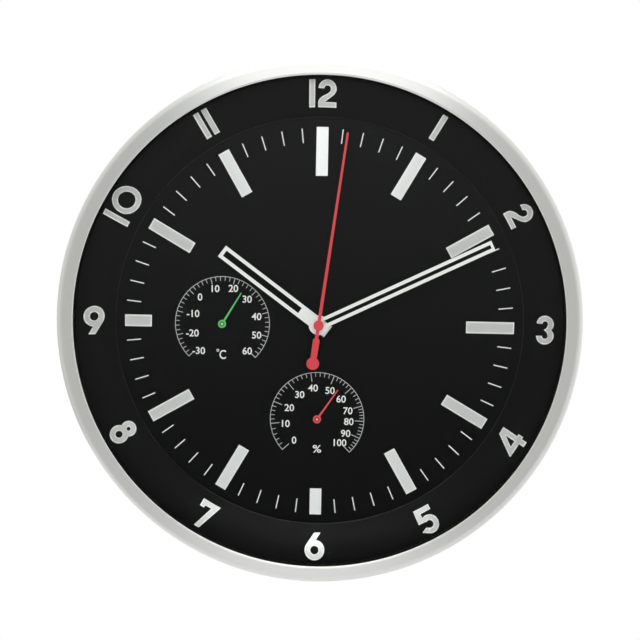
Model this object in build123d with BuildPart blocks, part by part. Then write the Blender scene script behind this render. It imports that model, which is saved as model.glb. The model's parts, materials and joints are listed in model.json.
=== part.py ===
"""Round wall clock with a thermometer and a hygrometer on its dial, in millimetres.

The wall is the plane Y = 0 and the viewer looks along +Y. X is to the right and Z is up.
The hands turn on the Y axis. Heights are counted from the wall towards the viewer.
"""

import os
from math import cos, radians, sin

from build123d import *

# Case
case_radius = 150.0
case_wall = 1.2
case_shoulder = 3.8
case_rear_round = 1.0
lip_face = 10.0
lip_thickness = 1.4
lip_round = 0.5
hem_width = 3.2

# Glass and its seal
gasket_thickness = 0.6
gasket_inset = 0.7
gasket_width = 3.6
glass_thickness = 2.0
glass_bevel = 0.3
glass_clearance = 0.4

# Bowl that holds the dial, with the sloped band of the numerals
bowl_clearance = 2.4
bowl_wall = 1.6
flange_thickness = 2.0
band_width = 21.9
band_overlap = 0.6
band_drop = 0.6
band_sag = 1.7
ring_step = 0.8
floor_thickness = 1.8
rib_count = 12
rib_thickness = 1.6
rib_drop = 18.0
rib_root = 1.5
rib_inner_drop = 4.0
boss_count = 6
boss_radius = 3.6
boss_inset = 8.8
boss_first_angle = 60.0
pilot_depth = 12.0

# Dial and its bars
dial_thickness = 0.8
dial_clearance = 0.3
marker_count = 12
marker_width = 6.8
marker_length = 27.7
short_marker_length = 15.6
marker_thickness = 0.4
marker_margin = 5.5
short_marker_hours = (6, 9)

# Back cover
cover_thickness = 2.0
cover_clearance = 0.4
cover_step_width = 4.0
cover_step_height = 3.6
cover_window_round = 3.0
window_clearance = 1.2
vent_count = 7
vent_pitch = 4.6
vent_width = 2.0
vent_length = 26.0

# Screws that join the cover to the bowl
screw_radius = 1.1
screw_head_radius = 2.5
screw_head_height = 0.9
screw_length = 9.0
screw_clearance = 0.4
thread_clearance = 0.05

# Steel hanger with a keyhole
hanger_rim_gap = 12.0
hanger_step_gap = 6.0
hanger_width = 46.0
hanger_height = 24.0
hanger_thickness = 1.2
hanger_corner = 3.0
keyhole_radius = 4.5
keyhole_slot_radius = 2.2
keyhole_travel = 7.0
keyhole_window_margin = 2.0
rivet_radius = 1.5
rivet_head_radius = 2.6
rivet_head_height = 0.7
rivet_side_gap = 4.5

# Movement housing
movement_corner = 2.5
movement_wall = 1.2
train_clearance = 2.0
tray_floor = 1.2
lid_thickness = 1.4
washer_thickness = 0.6
washer_width = 4.5
hook_gap = 0.3
hook_thickness = 1.5
hook_width = 7.0
hook_offset = 14.0
hook_reach = 1.3
hook_clearance = 0.1
barb_height = 1.3

# Centre tubes, from the inside out
running_clearance = 0.06
hole_clearance = 0.3
arbor_radius = 0.4
cannon_radius = 1.6
hour_tube_radius = 2.55
bush_radius = 4.2
bush_proud = 0.3
tube_proud = 0.4

# Wheels
train_module = 0.3
motion_module = 0.35
addendum_share = 0.85
pinion_addendum_share = 0.8
dedendum_share = 1.15
wheel_root_share = 0.30
wheel_tip_share = 0.12
pinion_root_share = 0.20
pinion_tip_share = 0.10
rotor_teeth = 8
intermediate_teeth = 48
intermediate_pinion_teeth = 12
second_teeth = 60
second_pinion_teeth = 8
third_teeth = 64
third_pinion_teeth = 8
centre_teeth = 60
cannon_teeth = 12
minute_teeth = 36
minute_pinion_teeth = 10
hour_teeth = 40
setting_teeth = 12
wheel_thickness = 0.8
layer_gap = 0.6
small_gap = 0.4
pivot_radius = 0.35
pivot_sink = 0.5
pivot_clearance = 0.05
pivot_hole_depth = 1.2
boss_wall = 0.9
stud_radius = 0.6
intermediate_bearing = 150.0
rotor_bearing = 125.0
third_bearing = 40.0
minute_bearing = -15.0
setting_bearing = -10.0

# Motor
magnet_radius = 2.6
magnet_length = 3.0
magnet_gap = 0.5
stator_width = 8.4
stator_length = 22.0
stator_arm = 4.2
stator_thickness = 1.0
coil_wall_gap = 0.6
core_width = 3.0
core_thickness = 1.0
coil_radius = 3.4
bobbin_radius = 3.9
bobbin_flange = 0.8
bobbin_tube_wall = 0.5

# Circuit board
board_width = 25.0
board_height = 8.4
board_thickness = 0.8
board_margin = 0.5
board_post_radius = 1.1
chip_radius = 2.2
chip_height = 0.9
crystal_radius = 1.0
crystal_length = 6.2

# Battery and its contacts
battery_radius = 7.1
battery_length = 49.5
battery_nub_radius = 2.7
battery_nub_length = 1.0
battery_clearance = 0.3
battery_lid_gap = 0.2
cell_slack = 2.3
bay_wall = 1.0
contact_thickness = 0.4
contact_width = 10.0
contact_bump_radius = 2.2

# Setting knob
setting_arbor_radius = 0.9
knob_radius = 5.2
knob_thickness = 2.0
knob_notches = 20
knob_notch_radius = 0.45
knob_gap = 0.3
knob_wall_gap = 1.5

# Hands
hand_thickness = 0.6
hour_hand_rise = 4.2
hand_step = 2.0
glass_hand_gap = 1.9
hour_hand_angle = 306.3
minute_hand_angle = 64.2
second_hand_angle = 7.5
hour_tip_gap = 48.7
hour_hand_width = 7.7
hour_hand_tail = 6.7
hour_hand_border = 2.0
hour_slot_start = 13.6
hour_collar_radius = 3.4
hour_collar_height = 1.0
minute_tip_gap = 9.3
minute_hand_width = 6.1
minute_hand_border = 1.95
minute_hand_tip_border = 1.5
minute_slot_start = 3.2
minute_boss_radius = 5.7
minute_collar_radius = 2.6
second_hand_thickness = 0.4
second_tip_gap = 8.5
second_base_width = 1.9
second_tip_width = 1.25
second_hub_radius = 2.9
second_hub_height = 0.9
second_hub_cap = 0.4
second_pipe_radius = 0.9
second_pipe_length = 0.3
second_neck_width = 1.9
second_neck_length = 7.4
paddle_shoulder = 1.2
paddle_width = 3.95
paddle_end_width = 3.5
paddle_reach = 22.3
paddle_disc_radius = 3.65

# Thermometer and hygrometer, each a coiled strip in a cup behind the bowl's floor
thermometer_drop = 0.9
thermometer_hook_gap = 1.6
hygrometer_movement_gap = 8.9
thermometer_angle = 31.0
hygrometer_angle = 34.0
cup_radius = 19.0
cup_cover_gap = 3.0
cup_wall = 1.2
cup_window_count = 6
cup_window_width = 9.0
cup_window_height = 5.0
ear_count = 2
cup_ear_radius = 3.0
cup_ear_height = 2.0
cup_screw_length = 3.2
gauge_bush_radius = 2.0
gauge_bush_proud = 0.5
gauge_bush_flange = 3.4
gauge_bush_flange_height = 0.8
gauge_arbor_radius = 0.6
collet_radius = 1.7
coil_strip = 0.45
coil_pitch = 2.2
coil_turns = 5
coil_gap = 0.3
coil_lift = 2.4
coil_front_gap = 2.2
anchor_radius = 1.2
anchor_clearance = 0.05
needle_length = 21.3
needle_base_width = 1.2
needle_tip_width = 0.6
needle_thickness = 0.3
needle_rise = 1.2
needle_hub_radius = 2.35
needle_hub_height = 0.7
needle_pin_proud = 0.3

# One overrun for every cut
overrun = 1.0

# Box of the movement, as wide and deep as the cell and as high as train and cell together
cell_length = battery_length + battery_nub_length
bay_height = 2 * (battery_radius + battery_clearance)
inner_half_width = cell_length / 2 + contact_thickness + cell_slack / 2
inner_half_height = second_teeth * train_module / 2 + train_clearance + bay_wall + bay_height
movement_width = 2 * (inner_half_width + movement_wall)
movement_height = 2 * (inner_half_height + movement_wall)
movement_depth = 2 * (battery_radius + battery_lid_gap) + lid_thickness

# Depth of the case, the sum of what stands between the wall and the glass
minute_hand_rise = hour_hand_rise + hand_step
second_hand_rise = minute_hand_rise + hand_step
hand_room = second_hand_rise + second_hub_height + glass_hand_gap
rim_over_dial = hand_room + glass_thickness + gasket_thickness + lip_thickness
movement_back = knob_wall_gap + knob_thickness + knob_gap
movement_front = movement_back + movement_depth
floor_back = movement_front + washer_thickness
floor_front = floor_back + floor_thickness
dial_front = floor_front + dial_thickness
case_depth = dial_front + rim_over_dial

# Radii and heights that follow from the sizes above
lip_radius = case_radius - lip_face
case_inside = case_radius - case_wall
hem_radius = case_inside - hem_width
cover_radius = case_inside - cover_clearance
cover_back = case_wall
cover_front = cover_back + cover_thickness
bowl_radius = case_inside - bowl_clearance
bowl_inside = bowl_radius - bowl_wall
glass_radius = bowl_radius - glass_clearance
glass_front = case_depth - lip_thickness - gasket_thickness
glass_back = glass_front - glass_thickness
band_outer = lip_radius + band_overlap
ring_inner = band_outer - band_width
dial_radius = ring_inner - dial_clearance
hour_hand_length = ring_inner - hour_tip_gap
minute_hand_length = ring_inner - minute_tip_gap
second_hand_length = ring_inner - second_tip_gap
marker_outer = ring_inner - marker_margin
boss_circle = bowl_inside - boss_inset
pilot_radius = screw_radius + thread_clearance
hanger_height_over_axis = case_radius - hanger_rim_gap - hanger_height / 2
rivet_spacing = hanger_width - 2 * rivet_side_gap
cover_step_radius = case_radius - hanger_rim_gap - hanger_height - hanger_step_gap
tray_inside = movement_back + tray_floor
lid_back = movement_front - lid_thickness
battery_axis = bay_height / 2 - inner_half_height
bay_top = battery_axis + bay_height / 2
battery_height = (movement_back + lid_back) / 2

# Levels of the wheels, each the height of the wheel's rear face
pivot_level = tray_inside - pivot_sink
intermediate_level = tray_inside + layer_gap
second_level = intermediate_level + wheel_thickness + layer_gap
third_level = second_level + wheel_thickness + small_gap
centre_level = third_level + wheel_thickness + layer_gap + small_gap
minute_level = centre_level + wheel_thickness + layer_gap
hour_level = minute_level + wheel_thickness + layer_gap + small_gap
bush_level = hour_level + wheel_thickness + small_gap
intermediate_boss_level = centre_level + wheel_thickness + small_gap
third_boss_level = intermediate_boss_level + small_gap
setting_boss_level = minute_level + wheel_thickness + layer_gap
stator_level = third_level
magnet_level = stator_level + (stator_thickness - magnet_length) / 2
rotor_boss_level = magnet_level + magnet_length + small_gap
core_level = stator_level + stator_thickness
coil_level = core_level + core_thickness / 2

# Heights of the hands and needles
hour_hand_level = dial_front + hour_hand_rise
minute_hand_level = dial_front + minute_hand_rise
second_hand_level = dial_front + second_hand_rise
needle_level = dial_front + needle_rise
cup_back = cover_front + cover_step_height + cup_cover_gap
cup_depth = floor_back - cup_back
cup_inside = cup_back + cup_wall
coil_strip_level = cup_inside + coil_lift
coil_strip_end = floor_back - gauge_bush_flange_height - coil_front_gap
coil_strip_height = coil_strip_end - coil_strip_level

# Places of the hooks and of the two gauges beside the movement
hook_inner = movement_width / 2 + hook_gap
hook_outer = hook_inner + hook_thickness
ear_reach = cup_radius + screw_head_radius + screw_clearance
thermometer_reach = hook_outer + thermometer_hook_gap + cup_ear_radius + ear_reach
hygrometer_reach = movement_height / 2 + hygrometer_movement_gap + cup_radius
thermometer_place = (-thermometer_reach, -thermometer_drop)
hygrometer_place = (0, -hygrometer_reach)


def level(height):
    # plane parallel to the wall, whose normal points to the viewer
    return Plane.XZ.offset(height)


def section(x=0, z=0, bearing=0):
    # plane through a spindle: its x is the distance from the spindle, its y the height
    turn = radians(bearing)
    return Plane(origin=(x, 0, z), x_dir=(cos(turn), 0, sin(turn)), z_dir=(sin(turn), 0, -cos(turn)))


def spindle(x=0, z=0):
    return Axis((x, 0, z), (0, 1, 0))


def clock_bearing(clock_angle):
    # clock angles run clockwise from twelve, bearings anticlockwise from +X
    return 90 - clock_angle


def step_from(place, distance, bearing):
    turn = radians(bearing)
    return (place[0] + distance * cos(turn), place[1] + distance * sin(turn))


def wheel_distance(teeth, other_teeth, module):
    return (teeth + other_teeth) * module / 2


def tooth_corners(teeth, module, phase, addendum, root_share, tip_share):
    # corners of a toothed outline, tooth by tooth
    root = teeth * module / 2 - dedendum_share * module
    tip = teeth * module / 2 + addendum * module
    step = 360 / teeth
    corner_shares = ((root, -root_share), (tip, -tip_share), (tip, tip_share), (root, root_share))
    corners = []
    for tooth in range(teeth):
        for radius, share in corner_shares:
            turn = radians(phase + (tooth + share) * step)
            corners.append((radius * cos(turn), radius * sin(turn)))
    return corners


def wheel_outline(teeth, module, phase):
    return tooth_corners(teeth, module, phase, addendum_share, wheel_root_share, wheel_tip_share)


def pinion_outline(teeth, module, phase):
    return tooth_corners(
        teeth, module, phase, pinion_addendum_share, pinion_root_share, pinion_tip_share
    )


def meshed_phase(teeth, phase, other_teeth, bearing):
    # phase of the other wheel that puts a gap of it on this wheel's tooth
    lead = (phase - bearing) * teeth / other_teeth
    return bearing + 180 + 180 / other_teeth - lead


def add_teeth(corners, height, thickness):
    # a toothed disc in the part that is being built
    with BuildSketch(level(height)) as outline:
        with BuildLine():
            Polyline(*corners, close=True)
        make_face()
    extrude(outline.sketch, amount=thickness)


def add_disc(radius, height, thickness, mode=Mode.ADD):
    with BuildSketch(level(height)) as outline:
        Circle(radius)
    extrude(outline.sketch, amount=thickness, mode=mode)


def write(piece, name):
    piece.part.label = name
    export_step(piece.part, f"parts/{name}.step")


# Places of the spindles inside the movement
intermediate_distance = wheel_distance(second_teeth, intermediate_pinion_teeth, train_module)
rotor_distance = wheel_distance(rotor_teeth, intermediate_teeth, train_module)
third_distance = wheel_distance(second_pinion_teeth, third_teeth, train_module)
centre_module = 2 * third_distance / (third_pinion_teeth + centre_teeth)
minute_distance = wheel_distance(cannon_teeth, minute_teeth, motion_module)
hour_module = 2 * minute_distance / (minute_pinion_teeth + hour_teeth)
setting_distance = wheel_distance(minute_teeth, setting_teeth, motion_module)
intermediate_place = step_from((0, 0), intermediate_distance, intermediate_bearing)
rotor_place = step_from(intermediate_place, rotor_distance, rotor_bearing)
third_place = step_from((0, 0), third_distance, third_bearing)
minute_place = step_from((0, 0), minute_distance, minute_bearing)
setting_place = step_from(minute_place, setting_distance, setting_bearing)

# Phases that put every wheel in mesh with its neighbour
intermediate_phase = meshed_phase(second_teeth, 0, intermediate_pinion_teeth, intermediate_bearing)
rotor_phase = meshed_phase(intermediate_teeth, 0, rotor_teeth, rotor_bearing)
third_phase = meshed_phase(second_pinion_teeth, 0, third_teeth, third_bearing)
centre_phase = meshed_phase(third_pinion_teeth, 0, centre_teeth, third_bearing + 180)
minute_phase = meshed_phase(cannon_teeth, 0, minute_teeth, minute_bearing)
hour_phase = meshed_phase(minute_pinion_teeth, 0, hour_teeth, minute_bearing + 180)
setting_phase = meshed_phase(minute_teeth, minute_phase, setting_teeth, setting_bearing)

# Outer frame: spun ring with a flat lip, a rounded shoulder and a hem turned in at the wall
with BuildPart() as outer_frame:
    with BuildSketch(section()) as frame_profile:
        with BuildLine():
            Polyline(
                (lip_radius, case_depth - lip_thickness),
                (lip_radius, case_depth),
                (case_radius, case_depth),
                (case_radius, 0),
                (hem_radius, 0),
                (hem_radius, case_wall),
                (case_inside, case_wall),
                (case_inside, case_depth - lip_thickness),
                close=True,
            )
        make_face()
        corners = frame_profile.vertices()
        front_corner = corners.group_by(Axis.Y)[-1].sort_by(Axis.X)[-1]
        fillet(front_corner, case_shoulder)
        lip_corner = frame_profile.vertices().group_by(Axis.Y)[-1].sort_by(Axis.X)[0]
        fillet(lip_corner, lip_round)
        rear_corner = frame_profile.vertices().group_by(Axis.Y)[0].sort_by(Axis.X)[-1]
        fillet(rear_corner, case_rear_round)
    revolve(axis=spindle())
write(outer_frame, "outer_frame")

# Gasket: soft ring between the lip and the glass
with BuildPart() as glass_gasket:
    with BuildSketch(level(glass_front)):
        Circle(lip_radius + gasket_inset + gasket_width)
        Circle(lip_radius + gasket_inset, mode=Mode.SUBTRACT)
    extrude(amount=gasket_thickness)
write(glass_gasket, "glass_gasket")

# Front glass with ground edges
with BuildPart() as front_glass:
    with BuildSketch(level(glass_back)):
        Circle(glass_radius)
    extrude(amount=glass_thickness)
    chamfer(front_glass.edges(), glass_bevel)
write(front_glass, "front_glass")

# Dial bowl: floor, hollow numeral band, flange and skirt in one moulding
band_start = (ring_inner, dial_front + ring_step)
band_end = (band_outer, glass_back - band_drop)
flange_back = glass_back - flange_thickness
band_back_end = (band_outer + band_drop + flange_thickness / 2, flange_back)
rib_top = glass_back - flange_thickness / 2
hook_top = movement_back - hook_clearance
hook_end = hook_top - barb_height
boss_top = floor_back + (boss_circle - boss_radius - ring_inner) / band_width * (rib_top - floor_back)
rib_bearings = [(rib + 0.5) * 360 / rib_count for rib in range(rib_count)]
gauge_places = (thermometer_place, hygrometer_place)
with BuildPart() as dial_bowl:
    with BuildSketch(section()) as bowl_profile:
        with BuildLine():
            Polyline((0, floor_front), (ring_inner, floor_front), band_start)
            SagittaArc(band_start, band_end, band_sag)
            Polyline(
                band_end,
                (band_outer + band_drop, glass_back),
                (bowl_radius, glass_back),
                (bowl_radius, cover_front),
                (bowl_inside, cover_front),
                (bowl_inside, flange_back),
                band_back_end,
            )
            SagittaArc(band_back_end, (ring_inner, floor_back), -band_sag / 2)
            Polyline((ring_inner, floor_back), (0, floor_back), (0, floor_front))
        make_face()
    revolve(axis=spindle())
    with BuildSketch(*[section(bearing=bearing) for bearing in rib_bearings]):
        with BuildLine():
            Polyline(
                (ring_inner - rib_root, floor_back + floor_thickness / 2),
                (bowl_radius - bowl_wall / 2, rib_top),
                (bowl_radius - bowl_wall / 2, rib_top - rib_drop),
                (ring_inner - rib_root, floor_back - rib_inner_drop),
                close=True,
            )
        make_face()
    extrude(amount=rib_thickness / 2, both=True)
    with BuildSketch(level(cover_front)):
        with PolarLocations(boss_circle, boss_count, start_angle=boss_first_angle):
            Circle(boss_radius)
    extrude(amount=boss_top - cover_front)
    with BuildSketch(level(cover_front)):
        with PolarLocations(boss_circle, boss_count, start_angle=boss_first_angle):
            Circle(pilot_radius)
    extrude(amount=pilot_depth, mode=Mode.SUBTRACT)
    # snap hooks that hold the movement against the floor
    for side in (-1, 1):
        with BuildSketch(section(z=-hook_offset), section(z=hook_offset)):
            with BuildLine():
                Polyline(
                    (side * hook_inner, floor_back + floor_thickness / 2),
                    (side * hook_outer, floor_back + floor_thickness / 2),
                    (side * hook_outer, hook_end),
                    (side * hook_inner, hook_end),
                    (side * (hook_inner - hook_reach), hook_top),
                    (side * hook_inner, hook_top),
                    close=True,
                )
            make_face()
        extrude(amount=hook_width / 2, both=True)
    # holes for the movement's bush and for the two gauges
    with BuildSketch(level(floor_back - overrun)):
        Circle(bush_radius + hole_clearance)
        with Locations(*gauge_places):
            Circle(gauge_bush_radius + thread_clearance)
            with PolarLocations(ear_reach, ear_count):
                Circle(pilot_radius)
    extrude(amount=overrun + floor_thickness, mode=Mode.SUBTRACT)
write(dial_bowl, "dial_bowl")

# Dial plate
with BuildPart() as dial_plate:
    with BuildSketch(level(floor_front)):
        Circle(dial_radius)
        Circle(bush_radius + hole_clearance, mode=Mode.SUBTRACT)
        with Locations(*gauge_places):
            Circle(gauge_bush_radius + thread_clearance, mode=Mode.SUBTRACT)
    extrude(amount=dial_thickness)
write(dial_plate, "dial_plate")

# Hour bars, one solid each, shorter where a gauge stands in the way
with BuildPart() as hour_markers:
    with BuildSketch(level(dial_front)):
        for hour in range(1, marker_count + 1):
            length = short_marker_length if hour in short_marker_hours else marker_length
            bearing = clock_bearing(hour * 360 / marker_count)
            with PolarLocations(marker_outer - length / 2, 1, start_angle=bearing):
                Rectangle(length, marker_width)
    extrude(amount=marker_thickness)
write(hour_markers, "hour_markers")

# Back cover: shallow stepped pan with a window for the movement, vents and screw holes
step_inner = cover_step_radius - cover_step_width
vent_steps = [vent - (vent_count - 1) / 2 for vent in range(vent_count)]
cup_vents = [(x, z + step * vent_pitch) for x, z in gauge_places for step in vent_steps]
rivet_places = [(side * rivet_spacing / 2, hanger_height_over_axis) for side in (-1, 1)]
window_half = hook_outer + window_clearance
keyhole_top = keyhole_travel + keyhole_slot_radius
with BuildPart() as back_cover:
    with BuildSketch(section()):
        with BuildLine():
            Polyline(
                (0, cover_back + cover_step_height),
                (step_inner, cover_back + cover_step_height),
                (cover_step_radius, cover_back),
                (cover_radius, cover_back),
                (cover_radius, cover_front),
                (cover_step_radius, cover_front),
                (step_inner, cover_front + cover_step_height),
                (0, cover_front + cover_step_height),
                close=True,
            )
        make_face()
    revolve(axis=spindle())
    with BuildSketch(level(0)):
        RectangleRounded(
            2 * window_half, movement_height + 2 * window_clearance, cover_window_round
        )
        with Locations(*cup_vents):
            SlotOverall(vent_length, vent_width)
        with PolarLocations(boss_circle, boss_count, start_angle=boss_first_angle):
            Circle(screw_radius + screw_clearance)
        with Locations((0, hanger_height_over_axis + keyhole_travel / 2)):
            SlotCenterToCenter(
                keyhole_travel, 2 * (keyhole_radius + keyhole_window_margin), rotation=90
            )
        with Locations(*rivet_places):
            Circle(rivet_radius + thread_clearance)
    extrude(amount=cover_front + cover_step_height + overrun, mode=Mode.SUBTRACT)
write(back_cover, "back_cover")

# Pan head screws that join the cover to the bowl
with BuildPart() as back_cover_screws:
    with BuildSketch(level(cover_back)):
        with PolarLocations(boss_circle, boss_count, start_angle=boss_first_angle):
            Circle(screw_radius)
    extrude(amount=screw_length)
    with BuildSketch(level(cover_back)):
        with PolarLocations(boss_circle, boss_count, start_angle=boss_first_angle):
            Circle(screw_head_radius)
    extrude(amount=-screw_head_height)
write(back_cover_screws, "back_cover_screws")

# Hanger: steel plate on the inside of the cover, whose keyhole takes a wall screw
with BuildPart() as hanger_plate:
    with BuildSketch(level(cover_front)):
        with Locations((0, hanger_height_over_axis)):
            RectangleRounded(hanger_width, hanger_height, hanger_corner)
            Circle(keyhole_radius, mode=Mode.SUBTRACT)
        with Locations(*rivet_places):
            Circle(rivet_radius + thread_clearance, mode=Mode.SUBTRACT)
        with Locations((0, hanger_height_over_axis + keyhole_travel / 2)):
            SlotCenterToCenter(
                keyhole_travel, 2 * keyhole_slot_radius, rotation=90, mode=Mode.SUBTRACT
            )
    extrude(amount=hanger_thickness)
write(hanger_plate, "hanger_plate")

# Rivets of the hanger
with BuildPart() as hanger_rivets:
    with BuildSketch(level(cover_back)):
        with Locations(*rivet_places):
            Circle(rivet_radius)
    extrude(amount=cover_thickness + hanger_thickness + rivet_head_height)
    for head_level, head_height in (
        (cover_back, -rivet_head_height),
        (cover_front + hanger_thickness, rivet_head_height),
    ):
        with BuildSketch(level(head_level)):
            with Locations(*rivet_places):
                Circle(rivet_head_radius)
        extrude(amount=head_height)
write(hanger_rivets, "hanger_rivets")

# Movement tray: floor, walls and the open battery bay
pivot_holes = (
    ((0, 0), arbor_radius),
    (intermediate_place, pivot_radius),
    (rotor_place, pivot_radius),
    (third_place, pivot_radius),
)
board_centre = (
    inner_half_width - board_margin - board_width / 2,
    inner_half_height - board_margin - board_height / 2,
)
board_level = stator_level
post_shift = board_width / 2 - 2 * board_post_radius
post_places = [(board_centre[0] + side * post_shift, board_centre[1]) for side in (-1, 1)]
with BuildPart() as movement_tray:
    with BuildSketch(level(movement_back)):
        RectangleRounded(movement_width, movement_height, movement_corner)
    extrude(amount=lid_back - movement_back)
    gear_space = inner_half_height - bay_top - bay_wall
    with BuildSketch(level(tray_inside)):
        with Locations((0, inner_half_height - gear_space / 2)):
            Rectangle(2 * inner_half_width, gear_space)
    extrude(amount=lid_back - tray_inside + overrun, mode=Mode.SUBTRACT)
    with BuildSketch(level(movement_back - overrun)):
        with Locations((0, battery_axis)):
            Rectangle(2 * inner_half_width, bay_height)
    extrude(amount=lid_back - movement_back + 2 * overrun, mode=Mode.SUBTRACT)
    with BuildSketch(level(tray_inside)):
        with Locations(*post_places):
            Circle(board_post_radius)
    extrude(amount=board_level - tray_inside)
    for place, radius in pivot_holes:
        with BuildSketch(level(pivot_level)):
            with Locations(place):
                Circle(radius + pivot_clearance)
        extrude(amount=overrun, mode=Mode.SUBTRACT)
    with BuildSketch(level(movement_back - overrun)):
        with Locations(setting_place):
            Circle(setting_arbor_radius + running_clearance)
    extrude(amount=tray_floor + 2 * overrun, mode=Mode.SUBTRACT)
write(movement_tray, "movement_tray")

# Movement lid: plate with the bush of the hands, the pivot bosses and a stud
lid_bosses = (
    (intermediate_place, pivot_radius + pivot_clearance, intermediate_boss_level),
    (rotor_place, pivot_radius + pivot_clearance, rotor_boss_level),
    (third_place, pivot_radius + pivot_clearance, third_boss_level),
    (setting_place, setting_arbor_radius + running_clearance, setting_boss_level),
)
stud_boss_level = bush_level + small_gap
with BuildPart() as movement_lid:
    with BuildSketch(level(lid_back)):
        RectangleRounded(movement_width, movement_height, movement_corner)
    extrude(amount=lid_thickness)
    add_disc(bush_radius, bush_level, dial_front + bush_proud - bush_level)
    for place, hole_radius, boss_level in lid_bosses:
        with BuildSketch(level(boss_level)):
            with Locations(place):
                Circle(hole_radius + boss_wall)
        extrude(amount=lid_back - boss_level)
        with BuildSketch(level(boss_level)):
            with Locations(place):
                Circle(hole_radius)
        extrude(amount=pivot_hole_depth, mode=Mode.SUBTRACT)
    with BuildSketch(level(stud_boss_level)):
        with Locations(minute_place):
            Circle(stud_radius + boss_wall)
    extrude(amount=lid_back - stud_boss_level)
    with BuildSketch(level(minute_level)):
        with Locations(minute_place):
            Circle(stud_radius)
    extrude(amount=lid_back - minute_level)
    add_disc(
        hour_tube_radius + running_clearance,
        bush_level - overrun,
        dial_front + bush_proud - bush_level + 2 * overrun,
        Mode.SUBTRACT,
    )
write(movement_lid, "movement_lid")

# Rubber washer between the movement and the bowl's floor
with BuildPart() as movement_washer:
    with BuildSketch(level(movement_front)):
        Circle(bush_radius + hole_clearance + washer_width)
        Circle(bush_radius + hole_clearance, mode=Mode.SUBTRACT)
    extrude(amount=washer_thickness)
write(movement_washer, "movement_washer")

# Stator: plate round the rotor, with two arms up to the coil's core
coil_height = inner_half_height - coil_wall_gap - bobbin_radius
stator_top = coil_height + core_width / 2
stator_arm_height = stator_top - rotor_place[1]
stator_arm_shift = (stator_length - stator_arm) / 2
with BuildPart() as stator:
    with BuildSketch(level(stator_level)):
        with Locations(rotor_place):
            Rectangle(stator_length, stator_width)
            for side in (-1, 1):
                with Locations((side * stator_arm_shift, stator_arm_height / 2)):
                    Rectangle(stator_arm, stator_arm_height)
            Circle(magnet_radius + magnet_gap, mode=Mode.SUBTRACT)
    extrude(amount=stator_thickness)
write(stator, "stator")

# Coil: core, bobbin and winding
winding_half = stator_length / 2 - stator_arm - bobbin_flange
coil_plane = Plane(
    origin=(rotor_place[0], -coil_level, coil_height), x_dir=(0, -1, 0), z_dir=(1, 0, 0)
)
with BuildPart() as coil_core:
    with BuildSketch(level(core_level)):
        with Locations((rotor_place[0], coil_height)):
            Rectangle(stator_length, core_width)
    extrude(amount=core_thickness)
write(coil_core, "coil_core")

with BuildPart() as coil_bobbin:
    for start, length, radius in (
        (-winding_half - bobbin_flange, bobbin_flange, bobbin_radius),
        (winding_half, bobbin_flange, bobbin_radius),
        (-winding_half, 2 * winding_half, core_width / 2 + bobbin_tube_wall),
    ):
        with BuildSketch(coil_plane.offset(start)):
            Circle(radius)
        extrude(amount=length)
    with BuildSketch(coil_plane.offset(-winding_half - bobbin_flange)):
        Rectangle(core_thickness, core_width)
    extrude(amount=2 * (winding_half + bobbin_flange), mode=Mode.SUBTRACT)
write(coil_bobbin, "coil_bobbin")

with BuildPart() as coil_winding:
    with BuildSketch(coil_plane.offset(-winding_half)):
        Circle(coil_radius)
        Circle(core_width / 2 + bobbin_tube_wall, mode=Mode.SUBTRACT)
    extrude(amount=2 * winding_half)
write(coil_winding, "coil_winding")

# Rotor: ring magnet on a plastic pinion
with BuildPart() as rotor_magnet:
    with BuildSketch(level(magnet_level)):
        with Locations(rotor_place):
            Circle(magnet_radius)
            Circle(pivot_radius, mode=Mode.SUBTRACT)
    extrude(amount=magnet_length)
write(rotor_magnet, "rotor_magnet")


def placed(corners, place):
    return [(x + place[0], z + place[1]) for x, z in corners]


def add_arbor(place, radius, start, end):
    with BuildSketch(level(start)) as outline:
        with Locations(place):
            Circle(radius)
    extrude(outline.sketch, amount=end - start)


def add_bore(place, radius, start, end):
    with BuildSketch(level(start - overrun)) as outline:
        with Locations(place):
            Circle(radius)
    extrude(outline.sketch, amount=end - start + 2 * overrun, mode=Mode.SUBTRACT)


pivot_reach = pivot_hole_depth - small_gap / 2

with BuildPart() as rotor_pinion:
    add_teeth(
        placed(pinion_outline(rotor_teeth, train_module, rotor_phase), rotor_place),
        intermediate_level - small_gap / 2,
        magnet_level - intermediate_level + small_gap / 2,
    )
    add_arbor(rotor_place, pivot_radius, pivot_level, rotor_boss_level + pivot_reach)
write(rotor_pinion, "rotor_pinion")

# Intermediate wheel, driven by the rotor
with BuildPart() as intermediate_wheel:
    add_teeth(
        placed(wheel_outline(intermediate_teeth, train_module, 0), intermediate_place),
        intermediate_level,
        wheel_thickness,
    )
    add_teeth(
        placed(
            pinion_outline(intermediate_pinion_teeth, train_module, intermediate_phase),
            intermediate_place,
        ),
        intermediate_level + wheel_thickness,
        second_level - intermediate_level + small_gap,
    )
    add_arbor(
        intermediate_place, pivot_radius, pivot_level, intermediate_boss_level + pivot_reach
    )
write(intermediate_wheel, "intermediate_wheel")

# Second wheel on the long arbor that carries the second hand
second_arbor_end = second_hand_level + second_hub_height - second_hub_cap
with BuildPart() as second_wheel:
    add_teeth(wheel_outline(second_teeth, train_module, 0), second_level, wheel_thickness)
    add_teeth(
        pinion_outline(second_pinion_teeth, train_module, 0),
        second_level + wheel_thickness,
        third_level - second_level + layer_gap,
    )
    add_arbor((0, 0), arbor_radius, pivot_level, second_arbor_end)
write(second_wheel, "second_wheel")

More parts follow.
